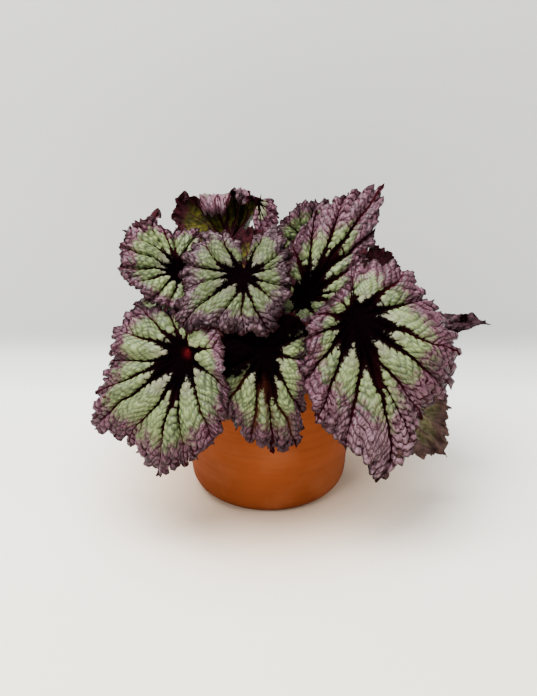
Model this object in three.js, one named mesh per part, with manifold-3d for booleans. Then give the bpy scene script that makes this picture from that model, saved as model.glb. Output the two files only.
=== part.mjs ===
// A potted rex begonia: a plain clay pot, its potting mix, the creeping rhizome and one solid for each leaf
// with its stalk. Millimetres, +Z up, origin at the middle of the pot's foot. The viewer's side is -Y.
import * as THREE from "three";
import { mergeVertices } from "three/addons/utils/BufferGeometryUtils.js";
import Module from "manifold-3d";

const wasm = await Module();
wasm.setup();

// Pot: a thrown clay cylinder that widens a little towards a rounded lip, with three drain holes in its floor.
const POT_HEIGHT = 130;
const POT_LIP_RADIUS = 75;
const POT_SHOULDER_RADIUS = 66.5; // outside, just above the rounded foot
const POT_FOOT_RADIUS = 54; // the flat disc that it stands on
const POT_FOOT_ROUND = 16; // how high the rounding of the foot reaches
const POT_WALL = 5.5;
const POT_FLOOR = 7;
const POT_SIDES = 44;
const DRAIN_RADIUS = 5;
const DRAIN_CIRCLE = 26; // the drain holes stand on this radius
const DRAIN_COUNT = 3;
const DRAIN_SIDES = 12;

// Potting mix and the rhizome that creeps over it.
const MIX_TOP = 112; // at the pot's wall
const MIX_CROWN = 5; // how much higher the middle stands
const MIX_SIDES = 32;
const RHIZOME_RADIUS = 9;
const RHIZOME_SIDES = 10;
const RHIZOME_STEPS = 16;
const RHIZOME_KNOBS = 5;
const CLEARANCE = 0.3; // between solids that touch in the real plant

// Leaves.
const BLADE = 0.8; // thickness of a blade
const NOTCH = 0.06; // how far the margin draws in between two main veins
const TOOTH = 0.035; // depth of the smaller teeth along the margin
const PUCKER = 0.03; // how far the blade swells between two main veins, as a share of the vein's reach
const WAVES_PER_VEIN = 0.62; // waves of the margin for each step from vein to vein
const WALK_STEPS = 10; // pieces in which a bowed vein is followed
const STALK_FOOT_RADIUS = 3.3;
const STALK_TOP_RADIUS = 2.3;
const STALK_DEPTH = 4; // how deep the stalks stand below the mix's edge
const STALK_SIDES = 8;
const STALK_STEPS = 8;
const STALK_KNOB = 0.7; // the stalk's end shows this far above the blade
const STALK_ARCH = 0.45; // how far a stalk rises before it leans out, as a share of its length
// Rings of points over a blade: the share of the way to the margin, and the steps in each field between veins.
const BROAD_RINGS = [
  [0.22, 1],
  [0.5, 2],
  [0.77, 4],
  [1, 8],
];
const SMALL_RINGS = [
  [0.3, 1],
  [0.65, 2],
  [1, 4],
];

const COLOURS = {
  clay: { color: 0xa5562a, roughness: 0.8 },
  mix: { color: 0x2a2019, roughness: 1 },
  rhizome: { color: 0x6b4a33, roughness: 0.8 },
  leaf: { color: 0x8f8f7c, roughness: 0.55 },
};

// One row for each leaf. foot: where its stalk leaves the mix. junction: where the stalk meets the blade.
// azimuth and pitch: the way the tip points, and roll: the blade's turn about that line. ruffle: height of the
// waves along the margin. veins: [angle from the tip line, reach, lift of the vein's end, bow of the vein].
// hook, where given, is the vein whose end turns aside, and by how many degrees. stalk and arch, where given,
// scale the stalk's thickness and change its arch. rings, where given, is the split of a small blade. fold,
// where given, is a part of the blade that hangs over from a place on it, with
// at: [vein, share of the way to the margin].
const LEAVES = [
  {
    name: "leaf_front_left",
    foot: [-14, -9],
    junction: [-61, -74, 153],
    azimuth: -135, pitch: -66, roll: -24, ruffle: 3, seed: 1,
    veins: [
      [-152, 23, -19, 20], [-129, 42, -14, 30], [-113, 55, -4, 30], [-90, 64, 2, 35], [-67, 66, 2, 35],
      [-49, 83, 1, 40], [-36, 101, 1, 40], [-18, 89, 0, 40], [3, 99, 0, 40], [16, 88, 0, 40],
      [36, 73, 3, 40], [71, 48, 10, 30], [117, 34, 14, 40], [200, 22, -14, 20],
    ],
  },
  {
    name: "leaf_front_right",
    foot: [16, -9],
    junction: [65, -62, 177],
    azimuth: -70, pitch: -63, roll: 9, ruffle: 3.5, seed: 2, hook: [7, -9],
    veins: [
      [-185, 30, -8, 15], [-152, 23, -10, 30], [-105, 32, 0, 20], [-75, 44, 2, 15], [-47, 66, 2, 15],
      [-30, 87, 1, 20], [-13, 101, 0, 25], [8, 129, 0, 35], [15, 111, 2, 40], [25, 92, 4, 50],
      [43, 94, 2, 75], [62, 88, 0, 80], [96, 64, -5, 45], [120, 61, -9, 35], [170, 41, -18, 25],
    ],
  },
  {
    name: "leaf_front_middle",
    foot: [0, -10],
    junction: [-3, -84, 159],
    azimuth: -78, pitch: -74, roll: 5, ruffle: 2.5, seed: 3,
    veins: [
      [-170, 29, -26, 20], [-118, 36, -20, 25], [-69, 41, -8, 35], [-40, 56, -5, 35], [-12, 72, -2, 30],
      [1, 78, 0, 30], [15, 80, -2, 30], [28, 58, -5, 35], [72, 33, -10, 35], [107, 42, -16, 35],
      [164, 32, -26, 20],
    ],
  },
  {
    name: "leaf_crown",
    foot: [-7, -3],
    junction: [-19, -45, 204],
    azimuth: -76, pitch: -36, roll: 17, ruffle: 2.5, seed: 4,
    veins: [
      [-186, 16, 8, 15], [-164, 46, 4, 30], [-143, 52, 1, 40], [-117, 52, -2, 45], [-92, 48, -4, 50],
      [-65, 64, -6, 55], [-38, 51, -2, 60], [-11, 50, -2, 60], [9, 55, -3, 60], [32, 44, -3, 60],
      [60, 40, -3, 55], [86, 37, -3, 45], [112, 43, -4, 40], [145, 49, -4, 30], [159, 17, 4, 15],
    ],
  },
  {
    name: "leaf_left_high",
    foot: [-22, -4],
    junction: [-69, -25, 199],
    azimuth: 124, pitch: 56, roll: -2, ruffle: 2, seed: 5, hook: [5, -17],
    veins: [
      [-70, 14, 8, 0], [-51, 32, 6, 0], [-41, 42, 3, 0], [-8, 35, -4, 0], [3, 42, -4, -5],
      [15, 56, -3, -30], [24, 55, -4, -10], [37, 57, -3, 10], [52, 53, -3, 25], [72, 52, -3, 30], [91, 47, 4, 30],
      [113, 42, 8, 30], [136, 38, 12, 20], [166, 31, 12, 0],
    ],
  },
  {
    name: "leaf_right_high",
    foot: [8, 1],
    junction: [27, -26, 176],
    azimuth: 37, pitch: 46, roll: 37, ruffle: 2.5, seed: 6,
    veins: [
      [-176, 33, 14, 0], [-104, 26, 20, 0], [-62, 35, 16, 0], [-44, 50, 7, 10], [-24, 62, 1, 10],
      [-12, 83, -2, 15], [-1, 115, 0, 15], [11, 96, 0, 20], [25, 75, 1, 20], [42, 51, 6, 15],
      [66, 35, 12, 15], [111, 26, 16, 10], [176, 31, 22, 0],
    ],
  },
  {
    name: "leaf_back_right_high",
    foot: [6, 10],
    junction: [28, 22, 201],
    azimuth: 40, pitch: 54, roll: 60, ruffle: 2, seed: 7, stalk: 0.85, rings: SMALL_RINGS,
    veins: [
      [-100, 24, 8, 10], [-58, 33, 5, 15], [-36, 44, 1, 15], [-16, 50, 0, 15], [0, 48, 0, 15],
      [14, 44, 1, 20], [34, 40, 2, 20], [64, 33, 5, 15], [88, 29, 8, 10], [120, 20, 8, 5],
    ],
  },
  {
    name: "leaf_back_upright",
    foot: [-12, 13],
    junction: [-35, 28, 203],
    azimuth: 75, pitch: 55, roll: 180, ruffle: 2, seed: 8,
    veins: [
      [-150, 17, 10, 20], [-100, 29, 8, 40], [-75, 51, 8, 60], [-54, 66, 4, 80], [-45, 60, 0, 120],
      [-36, 34, 0, 280], [-20, 30, 0, 280], [-8, 31, 0, 275], [-2, 52, 0, 150], [11, 38, 0, 255],
      [25, 52, 2, 80],
    ],
    fold: {
      at: [9.9, 0.95],
      azimuth: -75, pitch: -72, roll: 0, ruffle: 1, seed: 16, rings: SMALL_RINGS,
      veins: [
        [-22, 14, 0, 0], [-9, 26, 0, 10], [2, 35, 0, 15], [14, 34, 0, 15], [28, 31, 0, 15],
        [46, 24, 0, 10], [66, 18, 0, 10], [92, 11, 0, 5],
      ],
    },
  },
  {
    name: "leaf_young",
    foot: [-3, 8],
    junction: [-17, 3, 192],
    azimuth: 70, pitch: 66, roll: 180, ruffle: 1.2, seed: 9, stalk: 0.7, rings: SMALL_RINGS,
    veins: [
      [-89, 16, 14, 0], [-61, 24, 10, 0], [-37, 29, 6, 10], [-18, 35, 2, 20], [-1, 35, 0, 20],
      [14, 34, 2, 20], [32, 29, 6, 10], [54, 17, 12, 0],
    ],
  },
  {
    name: "leaf_right_curled",
    foot: [24, 3],
    junction: [110, 10, 138],
    azimuth: 5, pitch: 1, roll: 3, ruffle: 1.5, seed: 10, arch: 0.6, rings: SMALL_RINGS,
    veins: [
      [-130, 22, -16, 20], [-88, 22, -18, 25], [-50, 26, -18, 35], [-22, 34, -15, 35], [-8, 50, -9, 30],
      [0, 77, 0, -10], [9, 61, -3, 30], [26, 47, -8, 40], [46, 39, -12, 40], [72, 34, -14, 40],
      [112, 28, -14, 25],
    ],
  },
  {
    name: "leaf_right_low",
    foot: [22, -6],
    junction: [98, -36, 103],
    azimuth: -15, pitch: -60, roll: -108, ruffle: 2, seed: 11, stalk: 0.85, arch: 0.95,
    rings: SMALL_RINGS,
    veins: [
      [-110, 16, 0, 5], [-66, 29, 0, 10], [-44, 54, 0, 15], [-23, 65, 0, 15], [-11, 78, 0, 15],
      [3, 69, 0, 15], [20, 65, 0, 15], [38, 50, 0, 15], [70, 32, 0, 10], [110, 22, 0, 10],
    ],
  },
  {
    name: "leaf_right_small",
    foot: [15, 7],
    junction: [86, 6, 171],
    azimuth: 60, pitch: 60, roll: 175, ruffle: 1.2, seed: 12, stalk: 0.8, rings: SMALL_RINGS,
    veins: [
      [-92, 16, 5, 10], [-55, 32, 5, 15], [-35, 39, 5, 15], [-16, 42, 3, 20], [5, 37, 3, 20],
      [29, 31, 3, 20], [59, 26, 5, 15], [88, 16, 5, 10],
    ],
  },
  {
    name: "leaf_back_middle",
    foot: [-4, 18],
    junction: [-12, 72, 162],
    azimuth: 97, pitch: -30, roll: 0, ruffle: 3, seed: 13,
    veins: [
      [-158, 38, -6, 25], [-118, 46, -4, 35], [-82, 52, -3, 40], [-50, 62, -3, 40], [-22, 80, -2, 40],
      [0, 94, 0, 40], [22, 80, -2, 40], [50, 66, -3, 40], [84, 56, -3, 40], [120, 48, -4, 35],
      [160, 38, -6, 25],
    ],
  },
  {
    name: "leaf_back_right",
    foot: [13, 13],
    junction: [60, 62, 144],
    azimuth: 56, pitch: -36, roll: 0, ruffle: 2.5, seed: 14,
    veins: [
      [-158, 32, -6, 25], [-116, 42, -4, 35], [-78, 50, -3, 40], [-44, 62, -3, 40], [-18, 76, -2, 40],
      [6, 84, 0, 40], [30, 68, -3, 40], [62, 56, -3, 40], [104, 46, -4, 35], [156, 34, -6, 25],
    ],
  },
  {
    name: "leaf_back_left",
    foot: [-22, 11],
    junction: [-72, 42, 148],
    azimuth: 152, pitch: -22, roll: 0, ruffle: 2.5, seed: 15,
    veins: [
      [-158, 30, -6, 25], [-116, 40, -4, 35], [-78, 48, -3, 40], [-44, 58, -3, 40], [-18, 65, -2, 40],
      [6, 57, 0, 40], [30, 54, -3, 40], [62, 51, -3, 40], [104, 44, -4, 35], [156, 32, -6, 25],
    ],
  },
];

const radians = THREE.MathUtils.degToRad;

// A Catmull-Rom value through column k of the vein rows, at the place u counted in veins.
function along(veins, k, u) {
  const last = veins.length - 1;
  const i = Math.min(Math.floor(u), last - 1);
  const f = u - i;
  const at = (j) => veins[Math.max(0, Math.min(last, j))][k];
  const [a, b, c, d] = [at(i - 1), at(i), at(i + 1), at(i + 2)];
  return b + 0.5 * f * (c - a + f * (2 * a - 5 * b + 4 * c - d + f * (3 * (b - c) + d - a)));
}

// The blade's own directions: towards the tip, to the side and out of the upper face.
function leafAxes({ azimuth, pitch, roll }) {
  const [a, p] = [radians(azimuth), radians(pitch)];
  const tip = new THREE.Vector3(Math.cos(a) * Math.cos(p), Math.sin(a) * Math.cos(p), Math.sin(p));
  const up = new THREE.Vector3(0, 0, 1).addScaledVector(tip, -tip.z).normalize();
  const normal = up.applyAxisAngle(tip, radians(roll));
  return { tip, normal, side: new THREE.Vector3().crossVectors(normal, tip) };
}

// Follows a vein that turns down ever more towards its end, and gives its place at a share of its length.
function followVein(bow, share) {
  const step = share / WALK_STEPS;
  const place = new THREE.Vector2();
  for (let k = 0; k < WALK_STEPS; k++) {
    const turn = bow * ((k + 0.5) * step) ** 2;
    place.x += step * Math.cos(turn);
    place.y -= step * Math.sin(turn);
  }
  return place;
}

// A point of the blade: u runs over the veins, s from the junction to the margin.
function bladePoint(leaf, axes, u, s) {
  const field = u - Math.floor(u);
  const between = Math.sin(Math.PI * field);
  const teeth = (leaf.rings ?? BROAD_RINGS).at(-1)[1] / 2;
  const toothed = Math.abs(Math.sin(Math.PI * teeth * field));
  const drawnIn = s * s * (NOTCH * between + TOOTH * toothed);
  const reach = along(leaf.veins, 1, u) * (1 - drawnIn);
  const [hooked, turn] = leaf.hook ?? [0, 0];
  const aside = turn * Math.exp(-4 * (u - hooked) ** 2) * s ** 8;
  const angle = radians(along(leaf.veins, 0, u) + aside);
  const bow = radians(along(leaf.veins, 3, u));
  const end = followVein(bow, 1);
  const lift = radians(along(leaf.veins, 2, u)) - end.angle();
  const place = followVein(bow, s).rotateAround(new THREE.Vector2(), lift).multiplyScalar(reach / end.length());
  const swell = PUCKER * reach * between * Math.sin(Math.PI * s ** 0.8);
  const wave = leaf.ruffle * s ** 3 * Math.sin(2 * Math.PI * WAVES_PER_VEIN * u + leaf.seed);
  return leaf.junction.clone()
    .addScaledVector(axes.tip, place.x * Math.cos(angle))
    .addScaledVector(axes.side, place.x * Math.sin(angle))
    .addScaledVector(axes.normal, place.y + swell + wave);
}

// The blade's middle surface as points, triangles that face up, and the loop round its edge.
function bladeNet(leaf, axes) {
  const fields = leaf.veins.length - 1;
  const points = [bladePoint(leaf, axes, 0, 0)];
  const triangles = [];
  const rings = [];
  for (const [s, steps] of leaf.rings ?? BROAD_RINGS) {
    const ring = [];
    for (let i = 0; i <= fields * steps; i++) {
      ring.push(points.length);
      points.push(bladePoint(leaf, axes, i / steps, s));
    }
    rings.push(ring);
  }
  for (let i = 0; i < fields; i++) {
    triangles.push([0, rings[0][i], rings[0][i + 1]]);
  }
  for (let k = 1; k < rings.length; k++) {
    const [inner, outer] = [rings[k - 1], rings[k]];
    for (let i = 0; i < inner.length - 1; i++) {
      const [a, b, c] = outer.slice(2 * i, 2 * i + 3);
      triangles.push([inner[i], a, b], [inner[i], b, inner[i + 1]], [inner[i + 1], b, c]);
    }
  }
  const inward = rings.slice(0, -1);
  const firstEdge = inward.map((ring) => ring[0]);
  const lastEdge = inward.map((ring) => ring.at(-1)).reverse();
  return { points, triangles, loop: [0, ...firstEdge, ...rings.at(-1), ...lastEdge] };
}

// A closed blade of even thickness, split alike on both faces.
function bladeGeometry(leaf, axes) {
  const { points, triangles, loop } = bladeNet(leaf, axes);
  const normals = points.map(() => new THREE.Vector3());
  for (const corners of triangles) {
    const [a, b, c] = corners.map((i) => points[i]);
    const normal = b.clone().sub(a).cross(c.clone().sub(a));
    corners.forEach((i) => normals[i].add(normal));
  }
  normals.forEach((normal) => normal.normalize());
  const face = (offset) => points.flatMap((p, i) => p.clone().addScaledVector(normals[i], offset).toArray());
  const under = points.length;
  const index = [];
  for (const [a, b, c] of triangles) {
    index.push(a, b, c, a + under, c + under, b + under);
  }
  loop.forEach((a, i) => {
    const b = loop[(i + 1) % loop.length];
    index.push(b, a, a + under, b, a + under, b + under);
  });
  const geometry = new THREE.BufferGeometry();
  const places = [...face(BLADE / 2), ...face(-BLADE / 2)];
  geometry.setAttribute("position", new THREE.Float32BufferAttribute(places, 3));
  geometry.setIndex(index);
  return geometry;
}

// A closed round rod bent along a curve; radiusAt gives its radius at each share of the way.
function bentRod(curve, radiusAt, steps, sides) {
  const profile = [new THREE.Vector2(0, 0)];
  for (let i = 0; i <= steps; i++) {
    profile.push(new THREE.Vector2(radiusAt(i / steps), i));
  }
  profile.push(new THREE.Vector2(0, steps));
  const rod = new THREE.LatheGeometry(profile, sides);
  const frames = curve.computeFrenetFrames(steps);
  const place = rod.attributes.position;
  for (let i = 0; i < place.count; i++) {
    const k = Math.round(place.getY(i));
    const p = curve.getPointAt(k / steps)
      .addScaledVector(frames.normals[k], place.getX(i))
      .addScaledVector(frames.binormals[k], -place.getZ(i));
    place.setXYZ(i, ...p.toArray());
  }
  return rod;
}

// The line of a leaf's stalk, from inside the mix up to the blade.
function stalkCurve(leaf, axes) {
  const [x, y] = leaf.foot;
  const foot = new THREE.Vector3(x, y, MIX_TOP - STALK_DEPTH);
  const top = leaf.junction.clone().addScaledVector(axes.normal, BLADE / 2 + STALK_KNOB);
  const length = foot.distanceTo(top);
  const rise = foot.clone().add(new THREE.Vector3(x / 2, y / 2, length * (leaf.arch ?? STALK_ARCH)));
  const arrival = axes.normal.clone().multiplyScalar(0.8).addScaledVector(axes.tip, 0.5).normalize();
  const approach = top.clone().addScaledVector(arrival, -length * 0.35);
  return new THREE.CubicBezierCurve3(foot, rise, approach, top);
}

// A stalk as a rod, made thicker by grow where it cuts its own socket.
function stalkGeometry(leaf, axes, grow = 0) {
  const taper = (t) => THREE.MathUtils.lerp(STALK_FOOT_RADIUS, STALK_TOP_RADIUS, t);
  const radiusAt = (t) => taper(t) * (leaf.stalk ?? 1) + grow;
  return bentRod(stalkCurve(leaf, axes), radiusAt, STALK_STEPS, STALK_SIDES);
}

// The knobbly rhizome, from its old end to its growing tip.
function rhizomeGeometry(grow = 0) {
  const line = new THREE.CatmullRomCurve3([
    new THREE.Vector3(-34, 3, MIX_TOP - 2),
    new THREE.Vector3(-14, 0, MIX_TOP + 4),
    new THREE.Vector3(10, 2, MIX_TOP + 5),
    new THREE.Vector3(32, -1, MIX_TOP + 1),
  ]);
  const knob = (t) => 0.88 + 0.12 * Math.cos(2 * Math.PI * RHIZOME_KNOBS * t);
  const ends = (t) => Math.sin(Math.PI * (0.12 + 0.76 * t)) ** 0.4;
  return bentRod(line, (t) => RHIZOME_RADIUS * knob(t) * ends(t) + grow, RHIZOME_STEPS, RHIZOME_SIDES);
}

function toSolid(geometry) {
  const bare = geometry.clone();
  bare.deleteAttribute("normal");
  bare.deleteAttribute("uv");
  const merged = mergeVertices(bare, 1e-4);
  const vertProperties = merged.attributes.position.array;
  const triVerts = new Uint32Array(merged.index.array);
  return new wasm.Manifold(new wasm.Mesh({ numProp: 3, vertProperties, triVerts }));
}

function toMesh(name, solid, finish) {
  const { vertProperties, triVerts } = solid.getMesh();
  const geometry = new THREE.BufferGeometry();
  geometry.setAttribute("position", new THREE.BufferAttribute(vertProperties, 3));
  geometry.setIndex(new THREE.BufferAttribute(triVerts, 1));
  geometry.computeVertexNormals();
  const mesh = new THREE.Mesh(geometry, new THREE.MeshStandardMaterial({ ...finish, metalness: 0 }));
  mesh.name = name;
  return mesh;
}

const subtractAll = (solid, cutters) => cutters.reduce((rest, cutter) => rest.subtract(cutter), solid);

// A lathe round +Z from [radius, height] pairs.
function turned(pairs, sides) {
  const profile = pairs.map(([radius, height]) => new THREE.Vector2(radius, height));
  return new THREE.LatheGeometry(profile, sides).rotateX(Math.PI / 2);
}

// Outside of the pot at a height, from the shoulder to the lip.
function potOutside(z) {
  return THREE.MathUtils.mapLinear(z, POT_FOOT_ROUND, POT_HEIGHT, POT_SHOULDER_RADIUS, POT_LIP_RADIUS);
}

function potSolid() {
  const foot = new THREE.EllipseCurve(
    POT_FOOT_RADIUS, POT_FOOT_ROUND, POT_SHOULDER_RADIUS - POT_FOOT_RADIUS, POT_FOOT_ROUND, -Math.PI / 2, 0,
  );
  const lip = new THREE.EllipseCurve(
    POT_LIP_RADIUS - POT_WALL / 2, POT_HEIGHT - POT_WALL / 2, POT_WALL / 2, POT_WALL / 2, 0, Math.PI,
  );
  const outline = [
    [0, 0],
    ...foot.getPoints(4).map((p) => p.toArray()),
    ...lip.getPoints(4).map((p) => p.toArray()),
    [POT_SHOULDER_RADIUS - POT_WALL, POT_FLOOR + 6],
    [POT_SHOULDER_RADIUS - POT_WALL - 6, POT_FLOOR],
    [0, POT_FLOOR],
  ];
  const drains = [];
  for (let i = 0; i < DRAIN_COUNT; i++) {
    const turn = (i / DRAIN_COUNT) * 2 * Math.PI;
    const drain = new THREE.CylinderGeometry(DRAIN_RADIUS, DRAIN_RADIUS, 4 * POT_FLOOR, DRAIN_SIDES);
    drain.rotateX(Math.PI / 2).translate(DRAIN_CIRCLE * Math.cos(turn), DRAIN_CIRCLE * Math.sin(turn), 0);
    drains.push(toSolid(drain));
  }
  return subtractAll(toSolid(turned(outline, POT_SIDES)), drains);
}

function mixSolid(cutters) {
  const wall = potOutside(MIX_TOP) - POT_WALL - CLEARANCE;
  const base = POT_SHOULDER_RADIUS - POT_WALL - 6 - CLEARANCE;
  const outline = [
    [0, POT_FLOOR + CLEARANCE],
    [base, POT_FLOOR + CLEARANCE],
    [base + 5.5, POT_FLOOR + 6 + CLEARANCE],
    [wall - 0.8, MIX_TOP],
    [wall * 0.7, MIX_TOP + MIX_CROWN * 0.6],
    [wall * 0.35, MIX_TOP + MIX_CROWN * 0.9],
    [0, MIX_TOP + MIX_CROWN],
  ];
  return subtractAll(toSolid(turned(outline, MIX_SIDES)), cutters);
}

const plant = new THREE.Group();
plant.name = "potted_rex_begonia";
plant.add(toMesh("pot", potSolid(), COLOURS.clay));

const sockets = [];
for (const row of LEAVES) {
  const leaf = { ...row, junction: new THREE.Vector3(...row.junction) };
  const axes = leafAxes(leaf);
  let solid = toSolid(bladeGeometry(leaf, axes)).add(toSolid(stalkGeometry(leaf, axes)));
  if (leaf.fold) {
    const fold = { ...leaf.fold, junction: bladePoint(leaf, axes, ...leaf.fold.at) };
    solid = solid.add(toSolid(bladeGeometry(fold, leafAxes(fold))));
  }
  sockets.push(toSolid(stalkGeometry(leaf, axes, CLEARANCE)));
  plant.add(toMesh(leaf.name, solid, COLOURS.leaf));
}
plant.add(toMesh("rhizome", subtractAll(toSolid(rhizomeGeometry()), sockets), COLOURS.rhizome));
plant.add(toMesh("potting_mix", mixSolid([toSolid(rhizomeGeometry(CLEARANCE)), ...sockets]), COLOURS.mix));

export default plant;
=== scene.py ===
"""A potted rex begonia: a thrown clay pot, its potting mix, a creeping rhizome and fifteen ruffled leaves."""

import logging
import math
from collections.abc import Callable
from dataclasses import dataclass, replace
from enum import Enum
from functools import partial
from types import SimpleNamespace

import bmesh
import bpy
import numpy as np
from mathutils import Matrix, Vector, noise


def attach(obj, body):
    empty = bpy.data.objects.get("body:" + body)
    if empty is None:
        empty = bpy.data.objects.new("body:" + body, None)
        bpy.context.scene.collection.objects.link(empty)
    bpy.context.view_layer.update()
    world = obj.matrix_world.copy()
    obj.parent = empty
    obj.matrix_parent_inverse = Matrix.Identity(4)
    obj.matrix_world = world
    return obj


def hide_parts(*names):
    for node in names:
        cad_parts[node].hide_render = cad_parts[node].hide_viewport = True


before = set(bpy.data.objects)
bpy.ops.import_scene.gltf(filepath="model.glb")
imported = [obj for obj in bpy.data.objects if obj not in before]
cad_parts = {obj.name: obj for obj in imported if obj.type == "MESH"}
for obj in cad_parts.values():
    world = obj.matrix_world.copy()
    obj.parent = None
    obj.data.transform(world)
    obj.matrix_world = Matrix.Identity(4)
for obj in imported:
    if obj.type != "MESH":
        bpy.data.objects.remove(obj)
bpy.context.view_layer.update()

logging.basicConfig(level=logging.INFO, format="%(message)s")
log = logging.getLogger("begonia")

MM = 0.001
NOISE_SEED = 12  # without one, the noise vectors start anew each run

MIX_TOP = 112.0  # millimetres over the foot: the potting mix's edge, where the rhizome and stalks stand
ROUND_STEPS = 12  # of a quarter or half circle

# Blades: lengths in millimetres, and notches, teeth and puckers as shares of a vein's reach
ANGLE, REACH, LIFT, BOW = range(4)  # the columns of a blade's vein rows
BLADE = 0.7
NOTCH = 0.06
TOOTH = 0.035
PUCKER = 0.03
WAVES_PER_VEIN = 0.62
WALK_STEPS = 10  # in which a bowed vein is followed
MARGIN_STEPS = 2000  # in which the margin's length is measured
PARTED_FROM = 0.16  # how far forked veins have parted at the junction
SAW_LENGTH = 5.4  # of the small uneven teeth, which rise over SAW_RISE of their length
SAW_RISE = 0.68
SAW_DEPTH, SAW_UNEVEN, SAW_DRIFT = 1.9, 1.2, 2.4
NICK_LENGTH = 2.7  # of the nicks between them
NICK_DEPTH, NICK_DRIFT = 0.7, 1.5
CRISP_HEIGHT, CRISP_LENGTH = 2.6, 17.0  # the waves of the margin
FRILL_HEIGHT, FRILL_LENGTH = 1.0, 6.8  # smaller waves at its very edge
LIVELY_SIZE = 70.0  # blades smaller than this have lower waves
MARGIN_SWAY, SWAY, FINE_SWAY = 9.0, 13.0, 4.5  # sizes of the noise that makes the pattern uneven
SWAY_SHIFT = 17.3  # how far apart two seeds lie in the noise

# Veins and blisters: lengths in millimetres, and turns in degrees
SIDE_VEIN_SLANT = 1.25  # how fast a side vein runs outwards as it leaves its main vein
SIDE_VEIN_SPACING = 3.6  # to which this share of the blade's size is added
SIDE_VEIN_GROWTH = 0.02
BLISTER_LENGTH = 3.7
ROW_SHIFT = 0.618  # of each row of blisters against the last, as a share of a blister
GROOVE_DEPTH, GROOVE_WIDTH = 1.8, 2.0  # of a sunk main vein
FIELD_RISE = 2.3  # of the blade between two main veins
PILLOW_RISE = 0.7  # of the blade between two side veins
BLISTER_RISE = 1.1
VEIN_WANDER = 2.2  # how far a main vein strays from its line
BAND_WIDTH = 0.18  # half the width of the maroon band along a main vein, far out
BAND_SPREAD = ((0.062, 0.26), (0.027, 0.56))  # added near the junction: share of the size, and how far
MIDRIB_EXTRA = 0.6  # by which the vein to the tip has a broader band, as a share
ZONE_CONTRAST = 13  # how sharply green turns to mauve
HOOD_TURN = 26.0  # by which the shaded part behind a junction is turned from the tip line
HEART_RADIUS = 3.0  # of the red spot over a stalk
FOLD_PLACE = (9.9, 0.95)  # where the hanging part starts on the upright leaf, in veins and share
STALK_MATERIAL, HAIR_MATERIAL = 2, 3

# Settings that many shader nodes share
COLOUR = {"data_type": "RGBA"}
SMOOTH = {"interpolation_type": "SMOOTHSTEP"}

# The blade's attributes, which its materials read
PATTERN_NAMES = (
    "share", "vein", "span", "apart", "phase", "run", "zone", "margin", "silver", "amber", "painted_shade", "red",
)
# Bands of the blade from the junction outwards: where each ends, and the fine columns that one step spans
BLADE_ZONES = ((0.22, 4.0), (0.5, 2.0), (0.9, 1.0), (1.0, 0.5))


class Slot(Enum):
    """The material slots' names."""

    TERRACOTTA = "terracotta"
    POTTING_MIX = "potting_mix"
    RHIZOME = "rhizome"
    LEAF = "leaf"


class Teeth(Enum):
    """How many of the larger teeth stand on the margin between two main veins."""

    BROAD = 4
    SMALL = 2


def linear(colour: str) -> tuple[float, float, float, float]:
    """Turns an sRGB hex colour to the linear values that a shader takes.

    Args:
        colour: The colour as "#RRGGBB".

    Returns:
        Red, green, blue and an alpha of one.
    """
    shares = [int(colour[i : i + 2], 16) / 255 for i in (1, 3, 5)]
    red, green, blue = [c / 12.92 if c <= 0.04045 else ((c + 0.055) / 1.055) ** 2.4 for c in shares]
    return red, green, blue, 1.0


def add_node(
    tree: bpy.types.NodeTree, kind: str, links: dict | None = None, **settings: object
) -> bpy.types.Node:
    """Adds one node with its settings and what its inputs are set to or linked from.

    Args:
        tree: The node tree that takes the node.
        kind: The node's type name, without ShaderNode before it.
        links: For each input, by name or number, a value, a hex colour, a socket, or a node whose first
            output in use is meant.
        **settings: Properties of the node.

    Returns:
        The new node.
    """
    node = tree.nodes.new("ShaderNode" + kind)
    for key, value in settings.items():
        setattr(node, key, value)
    for key, value in (links or {}).items():
        if isinstance(value, str):
            value = linear(value)
        if isinstance(value, bpy.types.Node):
            value = next(output for output in value.outputs if output.enabled)
        if isinstance(value, bpy.types.NodeSocket):
            tree.links.new(value, node.inputs[key])
        else:
            node.inputs[key].default_value = value
    return node


def new_material(name: str) -> tuple[bpy.types.Material, Callable[..., bpy.types.Node]]:
    """Makes a material with an empty node tree.

    Args:
        name: The material's name.

    Returns:
        The material, and add_node for its tree.
    """
    material = bpy.data.materials.new(name)
    material.use_nodes = True
    material.node_tree.nodes.clear()
    return material, partial(add_node, material.node_tree)


def smooth_step(low: float, high: float, value: np.ndarray) -> np.ndarray:
    """Rises smoothly from zero at low to one at high."""
    share = np.clip((value - low) / (high - low), 0, 1)
    return share * share * (3 - 2 * share)


def dome(value: np.ndarray) -> np.ndarray:
    """A row of rounded humps, one for each whole step of the value, that meet at zero."""
    return 1 - np.abs(2 * (value - np.floor(value)) - 1) ** 2.4


def soft_noise(places: np.ndarray, scale: float, seed: float) -> np.ndarray:
    """Three smooth random values at each place.

    Args:
        places: Points in millimetres, one row each.
        scale: Size of the noise's features in millimetres.
        seed: Picks another part of the noise.

    Returns:
        One row of three values, each about from -1 to 1, for each place.
    """
    shifted = places / scale + seed * SWAY_SHIFT
    return np.array([noise.noise_vector(Vector(place)) for place in shifted])


def linked(name: str, data: bpy.types.ID) -> bpy.types.Object:
    """Puts a mesh, camera or light in the scene.

    Args:
        name: The object's name.
        data: What the object holds.

    Returns:
        The object, at the origin.
    """
    made = bpy.data.objects.new(name, data)
    bpy.context.scene.collection.objects.link(made)
    return made


def as_mesh(bm: bmesh.types.BMesh, name: str) -> bpy.types.Mesh:
    """Turns a bmesh to a mesh and frees it.

    Args:
        bm: The bmesh.
        name: The mesh's name.

    Returns:
        The mesh.
    """
    mesh = bpy.data.meshes.new(name)
    bm.to_mesh(mesh)
    bm.free()
    return mesh


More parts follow.
